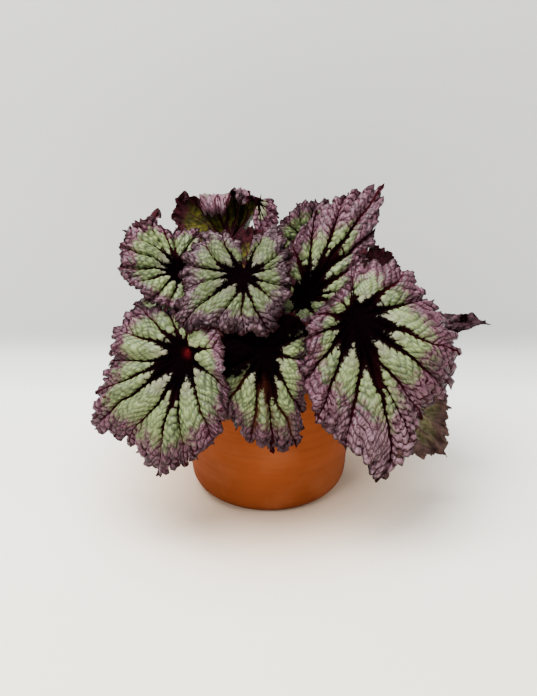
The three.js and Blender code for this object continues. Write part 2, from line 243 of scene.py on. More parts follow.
def applied(made: bpy.types.Object) -> bpy.types.Mesh:
    """Applies an object's modifiers.

    Args:
        made: The object, which is removed.

    Returns:
        Its mesh with the modifiers applied.
    """
    seen = bpy.context.evaluated_depsgraph_get()
    mesh = bpy.data.meshes.new_from_object(made.evaluated_get(seen))
    bpy.data.objects.remove(made)
    return mesh


def spun(pairs: list[tuple[float, float]], turns: int) -> bmesh.types.BMesh:
    """Spins a section round the upright axis into a closed body.

    Args:
        pairs: Radius and height pairs in millimetres, from the axis round to the axis again.
        turns: How many steps the full turn has.

    Returns:
        The body, in metres, with its faces pointing out.
    """
    bm = bmesh.new()
    verts = [bm.verts.new((radius * MM, 0, z * MM)) for radius, z in pairs]
    edges = [bm.edges.new(pair) for pair in zip(verts, verts[1:])]
    bmesh.ops.spin(
        bm, geom=verts + edges, cent=(0, 0, 0), axis=(0, 0, 1), angle=2 * math.pi, steps=turns, use_merge=True
    )
    bmesh.ops.remove_doubles(bm, verts=bm.verts, dist=1e-5)
    bmesh.ops.recalc_face_normals(bm, faces=bm.faces)
    return bm


def bent_rod(line: np.ndarray, radii: np.ndarray, sides: int, material: int) -> bpy.types.Mesh:
    """A closed round rod along a line of points.

    Args:
        line: Points in millimetres, one row each, evenly spaced.
        radii: The rod's radius in millimetres at each point.
        sides: How many sides its section has.
        material: The index of its material.

    Returns:
        The rod's mesh in metres, with the share of its length kept in the attribute "share".
    """
    steps = len(line) - 1
    bm = bmesh.new()
    bmesh.ops.create_cone(bm, cap_ends=True, segments=sides, radius1=1, radius2=1, depth=1)
    lengthways = [e for e in bm.edges if abs(e.verts[0].co.z - e.verts[1].co.z) > 0.5]
    bmesh.ops.subdivide_edges(bm, edges=lengthways, cuts=steps - 1, use_grid_fill=True)
    ahead = np.gradient(line, axis=0)
    ahead /= np.linalg.norm(ahead, axis=1, keepdims=True)
    across = np.empty_like(line)
    start = np.cross(ahead[0], (0.31, 0.95, 0.11))
    across[0] = start / np.linalg.norm(start)
    for k in range(1, steps + 1):
        carried = across[k - 1] - ahead[k] * (across[k - 1] @ ahead[k])
        across[k] = carried / np.linalg.norm(carried)
    beside = np.cross(ahead, across)
    share = bm.verts.layers.float.new("share")
    for vert in bm.verts:
        k = round((vert.co.z + 0.5) * steps)
        place = line[k] + radii[k] * (across[k] * vert.co.x + beside[k] * vert.co.y)
        vert[share] = k / steps
        vert.co = Vector(place * MM)
    for face in bm.faces:
        face.material_index = material
    bmesh.ops.recalc_face_normals(bm, faces=bm.faces)
    return as_mesh(bm, "rod")


def new_piece(
    name: str, meshes: list[bpy.types.Mesh], materials: list[bpy.types.Material], node: str
) -> None:
    """Joins meshes into one smooth shaded piece that rides on the row's one body.

    Args:
        name: The piece's name.
        meshes: Its meshes, in metres, with their place in the vertices. They are removed.
        materials: The materials that the faces' indices stand for.
        node: The CAD node that it stands for.
    """
    bm = bmesh.new()
    for mesh in meshes:
        bm.from_mesh(mesh)
        bpy.data.meshes.remove(mesh)
    for face in bm.faces:
        face.smooth = True
    piece = linked(name, as_mesh(bm, name))
    for material in materials:
        piece.data.materials.append(material)
    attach(piece, "root")
    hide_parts(node)
    log.info("%s: %d faces", name, len(piece.data.polygons))


@dataclass(frozen=True)
class FiredClay:
    """Unglazed fired earthenware: dull, open-pored, orange, with faint turning lines and bloom, and painted
    shade darkening it towards the foot.
    """

    body: str = "#7E3A12"
    deep: str = "#5E2A0C"
    bloom: str = "#86492A"
    pore_mm: float = 0.9
    cloud_mm: float = 38.0
    line_mm: float = 3.2

    def material(self) -> bpy.types.Material:
        """Builds the clay's material.

        Returns:
            The material, on Object coordinates.
        """
        clay, add = new_material("unglazed_earthenware")
        place = add("TexCoord").outputs["Object"]
        turned = add("Mapping", {"Vector": place, "Scale": (0.08, 0.08, 1.0)})
        clouds = add("TexNoise", {"Vector": place, "Scale": 1 / (self.cloud_mm * MM), "Detail": 4.0})
        lines = add("TexNoise", {"Vector": turned, "Scale": 1 / (self.line_mm * MM), "Detail": 2.0})
        pores = add("TexNoise", {"Vector": place, "Scale": 1 / (self.pore_mm * MM), "Detail": 3.0})
        height = add("SeparateXYZ", {0: place}).outputs["Z"]
        # painted shade: the clay darkens towards the foot, where the pot turns under
        low = add("MapRange", {"Value": height, "From Max": 0.05, "To Min": 0.75, "To Max": 0.0})
        cloud_share = add("MapRange", {"Value": clouds, "From Min": 0.48, "From Max": 0.72, "To Max": 0.55})
        line_share = add("MapRange", {"Value": lines, "From Min": 0.4, "From Max": 0.7, "To Max": 0.28})
        warm = add("Mix", {0: low, 6: self.body, 7: self.deep}, **COLOUR)
        lined = add("Mix", {0: line_share, 6: warm, 7: self.deep}, **COLOUR)
        bloomed = add("Mix", {0: cloud_share, 6: lined, 7: self.bloom}, **COLOUR)
        relief = add("Math", {0: pores, 1: 0.4, 2: lines}, operation="MULTIPLY_ADD")
        bump = add("Bump", {"Height": relief, "Strength": 0.35, "Distance": 0.3 * MM})
        skin = add(
            "BsdfPrincipled",
            {"Base Color": bloomed, "Roughness": 0.78, "Normal": bump, "Specular IOR Level": 0.1},
        )
        add("OutputMaterial", {"Surface": skin})
        return clay


@dataclass(frozen=True)
class Grain:
    """A crumbly or barky natural surface, dull and pitted: light on its grains and dark between them."""

    name: str
    light: str
    dark: str
    grain_mm: float = 1.2
    detail: float = 3.0
    dark_until: float = 0.35
    light_from: float = 0.65
    relief: float = 0.6
    relief_mm: float = 0.4
    roughness: float = 0.9
    gloss: float = 0.25

    def material(self) -> bpy.types.Material:
        """Builds the grain's material.

        Returns:
            The material, on Object coordinates.
        """
        grain, add = new_material(self.name)
        place = add("TexCoord").outputs["Object"]
        pits = add("TexNoise", {"Vector": place, "Scale": 1 / (self.grain_mm * MM), "Detail": self.detail})
        share = add("MapRange", {"Value": pits, "From Min": self.dark_until, "From Max": self.light_from})
        tone = add("Mix", {0: share, 6: self.dark, 7: self.light}, **COLOUR)
        bump = add("Bump", {"Height": pits, "Strength": self.relief, "Distance": self.relief_mm * MM})
        skin = add(
            "BsdfPrincipled",
            {
                "Base Color": tone,
                "Roughness": self.roughness,
                "Normal": bump,
                "Specular IOR Level": self.gloss,
            },
        )
        add("OutputMaterial", {"Surface": skin})
        return grain


# Damp peat is almost black brown, pine bark red brown and perlite chalk white. Old rhizomes are corky.
PEAT = Grain(
    "damp_peat",
    light="#3B2A1D",
    dark="#17100B",
    grain_mm=3.0,
    detail=5.0,
    dark_until=0.4,
    light_from=0.68,
    relief=0.8,
    relief_mm=1.2,
    roughness=0.95,
    gloss=0.2,
)
PINE_BARK = Grain("pine_bark", light="#5A3A24", dark="#24150D")
PERLITE = Grain("perlite", light="#CFCBC2", dark="#8F8A80")
RHIZOME_BARK = Grain("rhizome_bark", light="#7A5A3E", dark="#3A2519", grain_mm=2.0)


@dataclass(frozen=True)
class RedStalk:
    """A juicy leaf stalk: wine red with pale green flecks, half glossy, with painted shade turning it near
    black towards the blade.
    """

    red: str = "#5E1418"
    deep: str = "#320B0F"
    fleck: str = "#6E5A44"
    # painted shade at the stalk's top, where it lies under the blade
    shade: str = "#0A0305"
    knob: str = "#3C080D"
    fleck_mm: float = 2.2

    def material(self) -> bpy.types.Material:
        """Builds the stalk's material.

        Returns:
            The material, on Object coordinates and the rod's share of its length.
        """
        stalk, add = new_material("begonia_stalk")
        along = add("Attribute", attribute_name="share").outputs["Fac"]
        glow = add("Attribute", attribute_name="glow").outputs["Fac"]
        place = add("TexCoord").outputs["Object"]
        flecks = add("TexNoise", {"Vector": place, "Scale": 1 / (self.fleck_mm * MM), "Detail": 2.0})
        share = add("MapRange", {"Value": flecks, "From Min": 0.58, "From Max": 0.72, "To Max": 0.6})
        depth = add("MapRange", {"Value": flecks, "From Min": 0.3, "From Max": 0.55})
        red = add("Mix", {0: depth, 6: self.deep, 7: self.red}, **COLOUR)
        flecked = add("Mix", {0: share, 6: red, 7: self.fleck}, **COLOUR)
        # painted shade: the top of the stalk, under the blade, goes near black and loses its gloss
        top = add("MapRange", {"Value": along, "From Min": 0.65, "From Max": 0.85})
        shaded = add("Mix", {0: top, 6: flecked, 7: self.shade}, **COLOUR)
        knobbed = add("Mix", {0: glow, 6: shaded, 7: self.knob}, **COLOUR)
        gloss = add("MapRange", {"Value": top, "To Min": 0.12, "To Max": 0.0})
        skin = add("BsdfPrincipled", {"Base Color": knobbed, "Roughness": 0.5, "Specular IOR Level": gloss})
        add("OutputMaterial", {"Surface": skin})
        return stalk


@dataclass(frozen=True)
class LeafFace:
    """The leaf's upper face: waxy, blistered, silver green between maroon veins, mauve outside, with painted
    light and shade on its blisters.
    """

    mint_light: str = "#6D794C"
    mint_deep: str = "#363F26"
    pink: str = "#746660"
    mauve_light: str = "#65414F"
    mauve_deep: str = "#220E15"
    silver: str = "#856C74"
    maroon: str = "#22070B"
    black: str = "#040102"
    edge: str = "#1C070B"
    amber: str = "#2C140A"
    red: str = "#3C080D"
    grain_mm: float = 1.5
    mottle_mm: float = 5.0
    cloud_mm: float = 22.0

    def material(self) -> bpy.types.Material:
        """Builds the upper face's material from the blade's attributes.

        Returns:
            The material.
        """
        face, add = new_material("rex_begonia_upper_face")
        fetch = partial(add, "Attribute")
        at = SimpleNamespace(**{name: fetch(attribute_name=name).outputs["Fac"] for name in PATTERN_NAMES})
        place = add("TexCoord").outputs["Object"]
        for name, size in (("grain", self.grain_mm), ("mottle", self.mottle_mm), ("cloud", self.cloud_mm)):
            uneven = add("TexNoise", {"Vector": place, "Scale": 1 / (size * MM), "Detail": 2.5})
            setattr(at, name, add("Math", {0: uneven, 1: 0.5}, operation="SUBTRACT"))

        # Side veins, rows of blisters between them, and each row's blisters shifted against the last
        side = add("Math", {0: at.phase, 1: 0.5}, operation="PINGPONG")
        row = add("Math", {0: at.phase}, operation="FLOOR")
        shifted = add("Math", {0: row, 1: ROW_SHIFT, 2: at.run}, operation="MULTIPLY_ADD")
        down = add("Math", {0: shifted, 1: 0.5}, operation="PINGPONG")
        crest = add("Math", {0: side, 1: down}, operation="MINIMUM")

        # How far out: green within, mauve beyond, with a mottled border
        zone = add("Math", {0: at.mottle, 1: 5.0, 2: at.zone}, operation="MULTIPLY_ADD")
        outer = add("MapRange", {"Value": zone, "From Min": -1.2, "From Max": 1.2}, **SMOOTH)

        # Side veins: broad and dark where they leave a main vein, thin further off, faded in places
        width = add("MapRange", {"Value": at.apart, "From Max": 0.75, "To Min": 0.2, "To Max": 0.09})
        swayed = add("Math", {0: at.grain, 1: 0.2, 2: side}, operation="MULTIPLY_ADD")
        mottled = add("Math", {0: at.mottle, 1: 0.3, 2: swayed}, operation="MULTIPLY_ADD")
        side_share = add("Math", {0: mottled, 1: width}, operation="DIVIDE")
        side_line = add(
            "MapRange",
            {"Value": side_share, "From Min": 0.55, "From Max": 1.45, "To Min": 1.0, "To Max": 0.0},
            **SMOOTH,
        )
        in_green = add(
            "MapRange",
            {"Value": at.apart, "From Min": 0.1, "From Max": 0.5, "To Min": 0.85, "To Max": 0.05},
        )
        depth = add("Mix", {0: outer, 2: in_green, 3: 0.95}, data_type="FLOAT")
        faded = add("MapRange", {"Value": at.cloud, "From Min": -0.06, "From Max": 0.12, "To Min": 0.45})
        side_faded = add("Math", {0: side_line, 1: faded}, operation="MULTIPLY")
        side_dark = add("Math", {0: side_faded, 1: depth}, operation="MULTIPLY")

        # The finer net shows mostly in the mauve, and so do maroon blotches
        net_swayed = add("Math", {0: at.grain, 1: 0.5, 2: crest}, operation="MULTIPLY_ADD")
        net = add("MapRange", {"Value": net_swayed, "From Max": 0.16, "To Min": 1.0, "To Max": 0.0}, **SMOOTH)
        net_patch = add("MapRange", {"Value": at.mottle, "From Min": -0.12, "From Max": 0.12})
        net_near = add("MapRange", {"Value": at.margin, "From Max": 16.0, "To Min": 0.6, "To Max": 0.1})
        net_outer = add("Math", {0: net_patch, 1: net_near}, operation="MULTIPLY")
        net_depth = add("Math", {0: net_outer, 1: outer}, operation="MULTIPLY")
        net_dark = add("Math", {0: net, 1: net_depth}, operation="MULTIPLY")
        blotch_place = add("Math", {0: at.grain, 1: 0.6, 2: at.mottle}, operation="MULTIPLY_ADD")
        blotch = add("MapRange", {"Value": blotch_place, "From Min": 0.04, "From Max": 0.2, "To Max": 0.85})
        blotch_dark = add("Math", {0: blotch, 1: outer}, operation="MULTIPLY")

        # The maroon band along each main vein, feathered where side veins leave it
        near = add("Math", {0: at.vein, 1: 0.5}, operation="PINGPONG")
        band_place = add("Math", {0: near, 1: at.span}, operation="MULTIPLY")
        feather = add("Math", {0: side_line, 1: -0.38, 2: band_place}, operation="MULTIPLY_ADD")
        ragged = add("Math", {0: at.mottle, 1: 1.1, 2: feather}, operation="MULTIPLY_ADD")
        frayed = add("Math", {0: at.grain, 1: 0.9, 2: ragged}, operation="MULTIPLY_ADD")
        band = add(
            "MapRange",
            {"Value": frayed, "From Min": 0.7, "From Max": 1.12, "To Min": 1.0, "To Max": 0.0},
            **SMOOTH,
        )
        netted = add("Math", {0: blotch_dark, 1: net_dark}, operation="MAXIMUM")
        lines = add("Math", {0: side_dark, 1: netted}, operation="MAXIMUM")
        dark = add("Math", {0: lines, 1: band}, operation="MAXIMUM", use_clamp=True)

        # Painted light and shade on the blisters: palest on their crests and darker in the creases between
        # them; and some parts of the blade are paler than others at random
        crown = add("Math", {0: at.mottle, 1: 0.9, 2: crest}, operation="MULTIPLY_ADD")
        clouded = add("Math", {0: at.cloud, 1: 0.9, 2: crown}, operation="MULTIPLY_ADD")
        light = add("MapRange", {"Value": clouded, "From Min": -0.08, "From Max": 0.48})
        inner = add(
            "MapRange",
            {"Value": at.share, "From Min": 0.22, "From Max": 0.46, "To Min": 0.55, "To Max": 0.0},
        )
        pale_share = add("Math", {0: at.silver, 1: light}, operation="MULTIPLY")
        sage = add("Mix", {0: light, 6: self.mint_deep, 7: self.mint_light}, **COLOUR)
        green = add("Mix", {0: inner, 6: sage, 7: self.pink}, **COLOUR)
        mauve = add("Mix", {0: light, 6: self.mauve_deep, 7: self.mauve_light}, **COLOUR)
        pale = add("Mix", {0: pale_share, 6: mauve, 7: self.silver}, **COLOUR)
        ground = add("Mix", {0: outer, 6: green, 7: pale}, **COLOUR)

        # Painted deep shade and amber patches, both made uneven by the same noise
        shade_place = add("Math", {0: at.cloud, 1: at.mottle}, operation="ADD")
        shade = add(
            "MapRange",
            {"Value": shade_place, "From Min": -0.12, "From Max": 0.12, "To Min": 0.5, "To Max": 1.25},
        )
        painted_shade = add("Math", {0: at.painted_shade, 1: shade}, operation="MULTIPLY", use_clamp=True)
        amber_share = add("Math", {0: at.amber, 1: shade}, operation="MULTIPLY", use_clamp=True)

        # The lines are black by the heart and where shade is painted, and maroon elsewhere
        heart = add("MapRange", {"Value": at.share, "From Min": 0.28, "From Max": 0.75})
        lit = add("Math", {0: 1.0, 1: painted_shade}, operation="SUBTRACT")
        reddened = add("Math", {0: heart, 1: lit}, operation="MULTIPLY")
        maroon = add("Mix", {0: reddened, 6: self.black, 7: self.maroon}, **COLOUR)

        # All of it from the ground up, with the dark rim last
        rim_place = add("Math", {0: at.grain, 1: 3.0, 2: at.margin}, operation="MULTIPLY_ADD")
        rim = add(
            "MapRange",
            {"Value": rim_place, "From Min": 0.5, "From Max": 3.2, "To Min": 0.95, "To Max": 0.0},
            **SMOOTH,
        )
        tone = ground
        for share, over in (
            # painted shade: the shaded parts of the blade are mixed towards black
            (painted_shade, self.black),
            (dark, maroon),
            (amber_share, self.amber),
            (at.red, self.red),
            (rim, self.edge),
        ):
            tone = add("Mix", {0: share, 6: tone, 7: over}, **COLOUR)
        bump = add("Bump", {"Height": at.grain, "Strength": 0.7, "Distance": 0.9 * MM})
        dull = add("Math", {0: dark, 1: painted_shade}, operation="MAXIMUM", use_clamp=True)
        gloss = add("MapRange", {"Value": dull, "To Min": 0.24, "To Max": 0.0})
        skin = add(
            "BsdfPrincipled",
            {"Base Color": tone, "Roughness": 0.4, "Normal": bump, "Specular IOR Level": gloss},
        )
        add("OutputMaterial", {"Surface": skin})
        return face


@dataclass(frozen=True)
class LeafUnderside:
    """The leaf's underside: dull olive panels between raised wine red veins, wine red by the margin."""

    olive: str = "#4C4A12"
    deep_olive: str = "#24230A"
    grey_olive: str = "#767356"
    grey_wine: str = "#5A4642"
    wine: str = "#2E0B12"
    dark_wine: str = "#150508"
    grain_mm: float = 1.5
    mottle_mm: float = 6.0

    def material(self) -> bpy.types.Material:
        """Builds the underside's material from the blade's attributes.

        Returns:
            The material.
        """
        face, add = new_material("rex_begonia_underside")
        fetch = partial(add, "Attribute")
        names = ("phase", "vein", "span", "zone", "silver", "painted_shade")
        at = SimpleNamespace(**{name: fetch(attribute_name=name).outputs["Fac"] for name in names})
        place = add("TexCoord").outputs["Object"]
        grain = add("TexNoise", {"Vector": place, "Scale": 1 / (self.grain_mm * MM), "Detail": 2.0})
        mottle = add("TexNoise", {"Vector": place, "Scale": 1 / (self.mottle_mm * MM), "Detail": 3.0})
        swing = add("Math", {0: mottle, 1: 0.5}, operation="SUBTRACT")

        # Wine red on the veins and outside
        side = add("Math", {0: at.phase, 1: 0.5}, operation="PINGPONG")
        near = add("Math", {0: at.vein, 1: 0.5}, operation="PINGPONG")
        band_place = add("Math", {0: near, 1: at.span}, operation="MULTIPLY")
        ragged = add("Math", {0: swing, 1: 0.9, 2: band_place}, operation="MULTIPLY_ADD")
        zone = add("Math", {0: swing, 1: 5.0, 2: at.zone}, operation="MULTIPLY_ADD")
        side_line = add(
            "MapRange",
            {"Value": side, "From Min": 0.03, "From Max": 0.16, "To Min": 0.8, "To Max": 0.0},
            **SMOOTH,
        )
        band = add(
            "MapRange",
            {"Value": ragged, "From Min": 0.75, "From Max": 1.1, "To Min": 1.0, "To Max": 0.0},
            **SMOOTH,
        )
        outer = add("MapRange", {"Value": zone, "From Min": -1.0, "From Max": 1.4}, **SMOOTH)
        veins = add("Math", {0: side_line, 1: band}, operation="MAXIMUM")
        red = add("Math", {0: veins, 1: outer}, operation="MAXIMUM")

        # Olive and wine are mottled, greyer where the blade is silvery, and darker where shade is painted
        light = add("MapRange", {"Value": mottle, "From Min": 0.35, "From Max": 0.65})
        soft_light = add("MapRange", {"Value": light, "To Min": 0.45})
        pale_share = add("Math", {0: at.silver, 1: soft_light}, operation="MULTIPLY")
        green = add("Mix", {0: light, 6: self.deep_olive, 7: self.olive}, **COLOUR)
        wine = add("Mix", {0: light, 6: self.dark_wine, 7: self.wine}, **COLOUR)
        pale_green = add("Mix", {0: pale_share, 6: green, 7: self.grey_olive}, **COLOUR)
        pale_wine = add("Mix", {0: pale_share, 6: wine, 7: self.grey_wine}, **COLOUR)
        tone = add("Mix", {0: red, 6: pale_green, 7: pale_wine}, **COLOUR)
        # painted shade: the underside is darkened towards dark wine where shade is painted
        dimmed = add("Mix", {0: at.painted_shade, 6: tone, 7: self.dark_wine}, **COLOUR)
        bump = add("Bump", {"Height": grain, "Strength": 0.3, "Distance": 0.3 * MM})
        skin = add(
            "BsdfPrincipled",
            {"Base Color": dimmed, "Roughness": 0.7, "Normal": bump, "Specular IOR Level": 0.06},
        )
        add("OutputMaterial", {"Surface": skin})
        return face


@dataclass(frozen=True)
class PlantHair:
    """The stiff hairs on a stalk: pale pink and dull, far too thin for any pattern to show."""

    colour: str = "#B98A80"
    roughness: float = 0.6

    def material(self) -> bpy.types.Material:
        """Builds the hairs' material.

        Returns:
            The material.
        """
        hair, add = new_material("plant_hair")
        skin = add("BsdfPrincipled", {"Base Color": self.colour, "Roughness": self.roughness})
        add("OutputMaterial", {"Surface": skin})
        return hair


@dataclass(frozen=True)
class Blade:
    """A leaf's blade, spread from its junction over main veins that each have their own reach.

    A vein's row gives its angle from the tip line, its reach in millimetres, the lift of its end and its bow.
    A place on the blade has two numbers: u counts the veins, and s is its share of the way to the margin.
    """

    junction: tuple[float, float, float]
    azimuth: float
    pitch: float
    roll: float
    ruffle: float
    seed: float
    veins: tuple[tuple[float, float, float, float], ...]
    teeth: Teeth = Teeth.BROAD
    green: float = 0.7
    dark: float = 1.0
    silver: float = 0.0
    # painted shade: how far the whole blade is darkened towards black, as if it lay in shade
    painted_shade: float = 0.0
    # a painted shadow over the lobes behind the junction, which also widens the dark heart
    painted_hood_shadow: float = 0.0
    # darkening towards the margin, mixed in with the painted shade
    margin_darkening: float = 0.0
    tip_silver: float = 0.0
    red: float = 0.0
    amber: tuple[tuple[float, float, float], ...] = ()
    leaders: tuple[int, ...] = ()
    hook: tuple[int, float] = (0, 0.0)
    cell: float = 1.2

    def axes(self) -> tuple[np.ndarray, np.ndarray, np.ndarray]:
        """The blade's own axes.

        Returns:
            The directions towards the tip, to the side and out of the upper face.
        """
        a, p = math.radians(self.azimuth), math.radians(self.pitch)
        tip = Vector((math.cos(a) * math.cos(p), math.sin(a) * math.cos(p), math.sin(p)))
        up = (Vector((0, 0, 1)) - tip * tip.z).normalized()
        normal = Matrix.Rotation(math.radians(self.roll), 3, tip) @ up
        return np.array(tip), np.array(normal.cross(tip)), np.array(normal)

    def column(self, number: int) -> np.ndarray:
        """One column of the vein rows."""
        return np.array([row[number] for row in self.veins], float)

    def size(self) -> float:
        """The longest vein's reach, in millimetres."""
        return float(self.column(REACH).max())

    def along(self, number: int, u: np.ndarray) -> np.ndarray:
        """A smooth value through one column of the vein rows.

        Args:
            number: The column's number.
            u: Places counted in veins.

        Returns:
            The value at each place.
        """
        rows = self.column(number)
        last = len(rows) - 1
        i = np.minimum(np.floor(u).astype(int), last - 1)
        f = u - i
        a, b, c, d = rows[np.maximum(i - 1, 0)], rows[i], rows[i + 1], rows[np.minimum(i + 2, last)]
        return b + 0.5 * f * (c - a + f * (2 * a - 5 * b + 4 * c - d + f * (3 * (b - c) + d - a)))

    def root_angles(self) -> np.ndarray:
        """Each main vein's angle where it starts: a vein that forks off another starts along that one.

        Returns:
            The angles in degrees.
        """
        own = self.column(ANGLE)
        middle = int(np.argmin(np.abs(own)))
        leaders = [0, *(self.leaders or range(middle % 2, len(own), 2)), len(own) - 1]
        roots = own.copy()
        for k in range(len(own)):
            inward = [lead for lead in leaders if (lead - k) * (middle - k) >= 0] or [middle]
            roots[k] = own[min(inward, key=lambda lead: abs(lead - k))]
        return roots

    @staticmethod
    def parted(s: np.ndarray) -> np.ndarray:
        """How far the forked veins have parted at each share of the way to the margin."""
        return PARTED_FROM + (1 - PARTED_FROM) * smooth_step(0.06, 0.85, s)

    def angle_at(self, u: np.ndarray, s: np.ndarray) -> np.ndarray:
        """The angle from the tip line at each place, in degrees."""
        root = np.interp(u, np.arange(len(self.veins)), self.root_angles())
        return root + (self.along(ANGLE, u) - root) * self.parted(s)

    def field_angle(self, u: np.ndarray, s: np.ndarray) -> np.ndarray:
        """How wide the field between two main veins is at each place, in radians, evened out over the veins.

        Args:
            u: Places counted in veins.
            s: Shares of the way to the margin.

        Returns:
            The angle at each place.
        """
        middles = np.arange(len(self.veins) - 1) + 0.5
        root = np.interp(u, middles, np.radians(np.diff(self.root_angles())))
        own = np.interp(u, middles, np.radians(np.diff(self.column(ANGLE))))
        return root + (own - root) * self.parted(s)

    @staticmethod
    def follow_vein(bow: np.ndarray, share: np.ndarray) -> tuple[np.ndarray, np.ndarray]:
        """Follows a vein that turns down ever more towards its end.

        Args:
            bow: How far it turns at its end, in radians.
            share: Places as shares of its length.

        Returns:
            The way outwards and the way up at each place, as shares of its length.
        """
        step = share / WALK_STEPS
        outwards = np.zeros_like(share)
        upwards = np.zeros_like(share)
        for k in range(WALK_STEPS):
            turn = bow * ((k + 0.5) * step) ** 2
            outwards += step * np.cos(turn)
            upwards -= step * np.sin(turn)
        return outwards, upwards

    def surface(self, u: np.ndarray, s: np.ndarray, jag: np.ndarray | float = 0.0) -> np.ndarray:
        """Places on the blade's smooth middle surface.

        Args:
            u: Places counted in veins.
            s: Shares of the way from the junction to the margin.
            jag: How many millimetres the margin is cut in there.

        Returns:
            Points in millimetres, one row each.
        """
        share = u - np.floor(u)
        between = np.sin(np.pi * share)
        toothed = np.abs(np.sin(np.pi * self.teeth.value * share))
        drawn_in = s * s * (NOTCH * np.abs(between) + TOOTH * toothed)
        reach = self.along(REACH, u) * (1 - drawn_in) - jag * s**9
        hooked, turn = self.hook
        aside = turn * np.exp(-4 * (u - hooked) ** 2) * s**8
        angle = np.radians(self.angle_at(u, s) + aside)
        bow = np.radians(self.along(BOW, u))
        end_out, end_up = self.follow_vein(bow, np.ones_like(u))
        lift = np.radians(self.along(LIFT, u)) - np.arctan2(end_up, end_out)
        out, up = self.follow_vein(bow, s)
        scale = reach / np.hypot(end_out, end_up)
        x = (out * np.cos(lift) - up * np.sin(lift)) * scale
        y = (out * np.sin(lift) + up * np.cos(lift)) * scale
        swell = PUCKER * reach * between * np.sin(np.pi * s**0.8) * self.parted(s)
        wave = self.ruffle * s**3 * np.sin(2 * np.pi * WAVES_PER_VEIN * u + self.seed)
        tip, side, normal = self.axes()
        return (
            np.array(self.junction)
            + np.outer(x * np.cos(angle), tip)
            + np.outer(x * np.sin(angle), side)
            + np.outer(y + swell + wave, normal)
        )

    def normals(self, u: np.ndarray, s: np.ndarray) -> np.ndarray:
        """Unit normals of the smooth middle surface.

        Args:
            u: Places counted in veins.
            s: Shares of the way to the margin.

        Returns:
            Directions out of the upper face, one row each.
        """
        step = 1e-3
        inner = np.clip(s, 0.02, 1)
        last = len(self.veins) - 1
        outwards = self.surface(u, inner + step) - self.surface(u, inner - step)
        ahead, behind = np.minimum(u + step, last), np.maximum(u - step, 0)
        sideways = self.surface(ahead, inner) - self.surface(behind, inner)
        normal = np.cross(outwards, sideways)
        return normal / np.maximum(np.linalg.norm(normal, axis=1, keepdims=True), 1e-9)

    def stations(self) -> np.ndarray:
        """Counts fine columns between the main veins, in fours.

        Returns:
            Where each main vein stands in the count.
        """
        middles = np.arange(len(self.veins) - 1) + 0.5
        widths = np.radians(np.diff(self.column(ANGLE))) * self.along(REACH, middles)
        counts = np.maximum(4, 4 * np.round(widths / self.cell / 4))
        return np.concatenate([[0], np.cumsum(counts)])

    def flat_net(self, columns: float) -> bpy.types.Mesh:
        """A flat net of the blade: its fine columns across and the share of the way to the margin upwards.

        Args:
            columns: How many fine columns it has.

        Returns:
            The net, finer towards the margin.
        """
        bm = bmesh.new()
        low = 0.0
        for high, span in BLADE_ZONES:
            steps = max(2, round((high - low) * self.size() / (self.cell * min(max(span, 0.75), 1.6))))
            place = Matrix.Translation((columns / 2, (low + high) / 2, 0))
            stretch = Matrix.Diagonal((columns / 2, (high - low) / 2, 1, 1))
            made = bmesh.ops.create_grid(
                bm, x_segments=round(columns / span), y_segments=steps, size=1, matrix=place @ stretch
            )
            if high < 1:
                verts = {v for v in made["verts"] if v.co.y > high - 1e-5}
                top = [e for e in bm.edges if e.verts[0] in verts and e.verts[1] in verts]
                bmesh.ops.subdivide_edges(bm, edges=top, cuts=1)
            low = high
        bmesh.ops.remove_doubles(bm, verts=bm.verts, dist=1e-3)
        bmesh.ops.triangulate(bm, faces=[f for f in bm.faces if len(f.verts) > 4])
        return as_mesh(bm, "net")

    def margin_teeth(self, u: np.ndarray) -> tuple[np.ndarray, np.ndarray]:
        """The way along the margin, and how deep its small uneven teeth cut.

        Args:
            u: Places counted in veins.

        Returns:
            The way along the margin and the depth of the cut, both in millimetres.
        """
        fine = np.linspace(0, len(self.veins) - 1, MARGIN_STEPS)
        steps = np.linalg.norm(np.diff(self.surface(fine, np.ones_like(fine)), axis=0), axis=1)
        arc = np.interp(u, fine, np.concatenate([[0], np.cumsum(steps)]))
        sway = soft_noise(np.stack([arc, arc * 0, arc * 0], 1), MARGIN_SWAY, self.seed)
        saw = (arc + SAW_DRIFT * sway[:, 0]) / SAW_LENGTH
        saw = saw - np.floor(saw)
        tooth = np.where(saw < SAW_RISE, saw / SAW_RISE, (1 - saw) / (1 - SAW_RISE))
        nick = np.abs(np.sin(np.pi * (arc + NICK_DRIFT * sway[:, 1]) / NICK_LENGTH))
        depth = (SAW_DEPTH + SAW_UNEVEN * sway[:, 2]) * (1 - tooth) + NICK_DEPTH * (1 - nick)
        return arc, depth - NICK_DEPTH

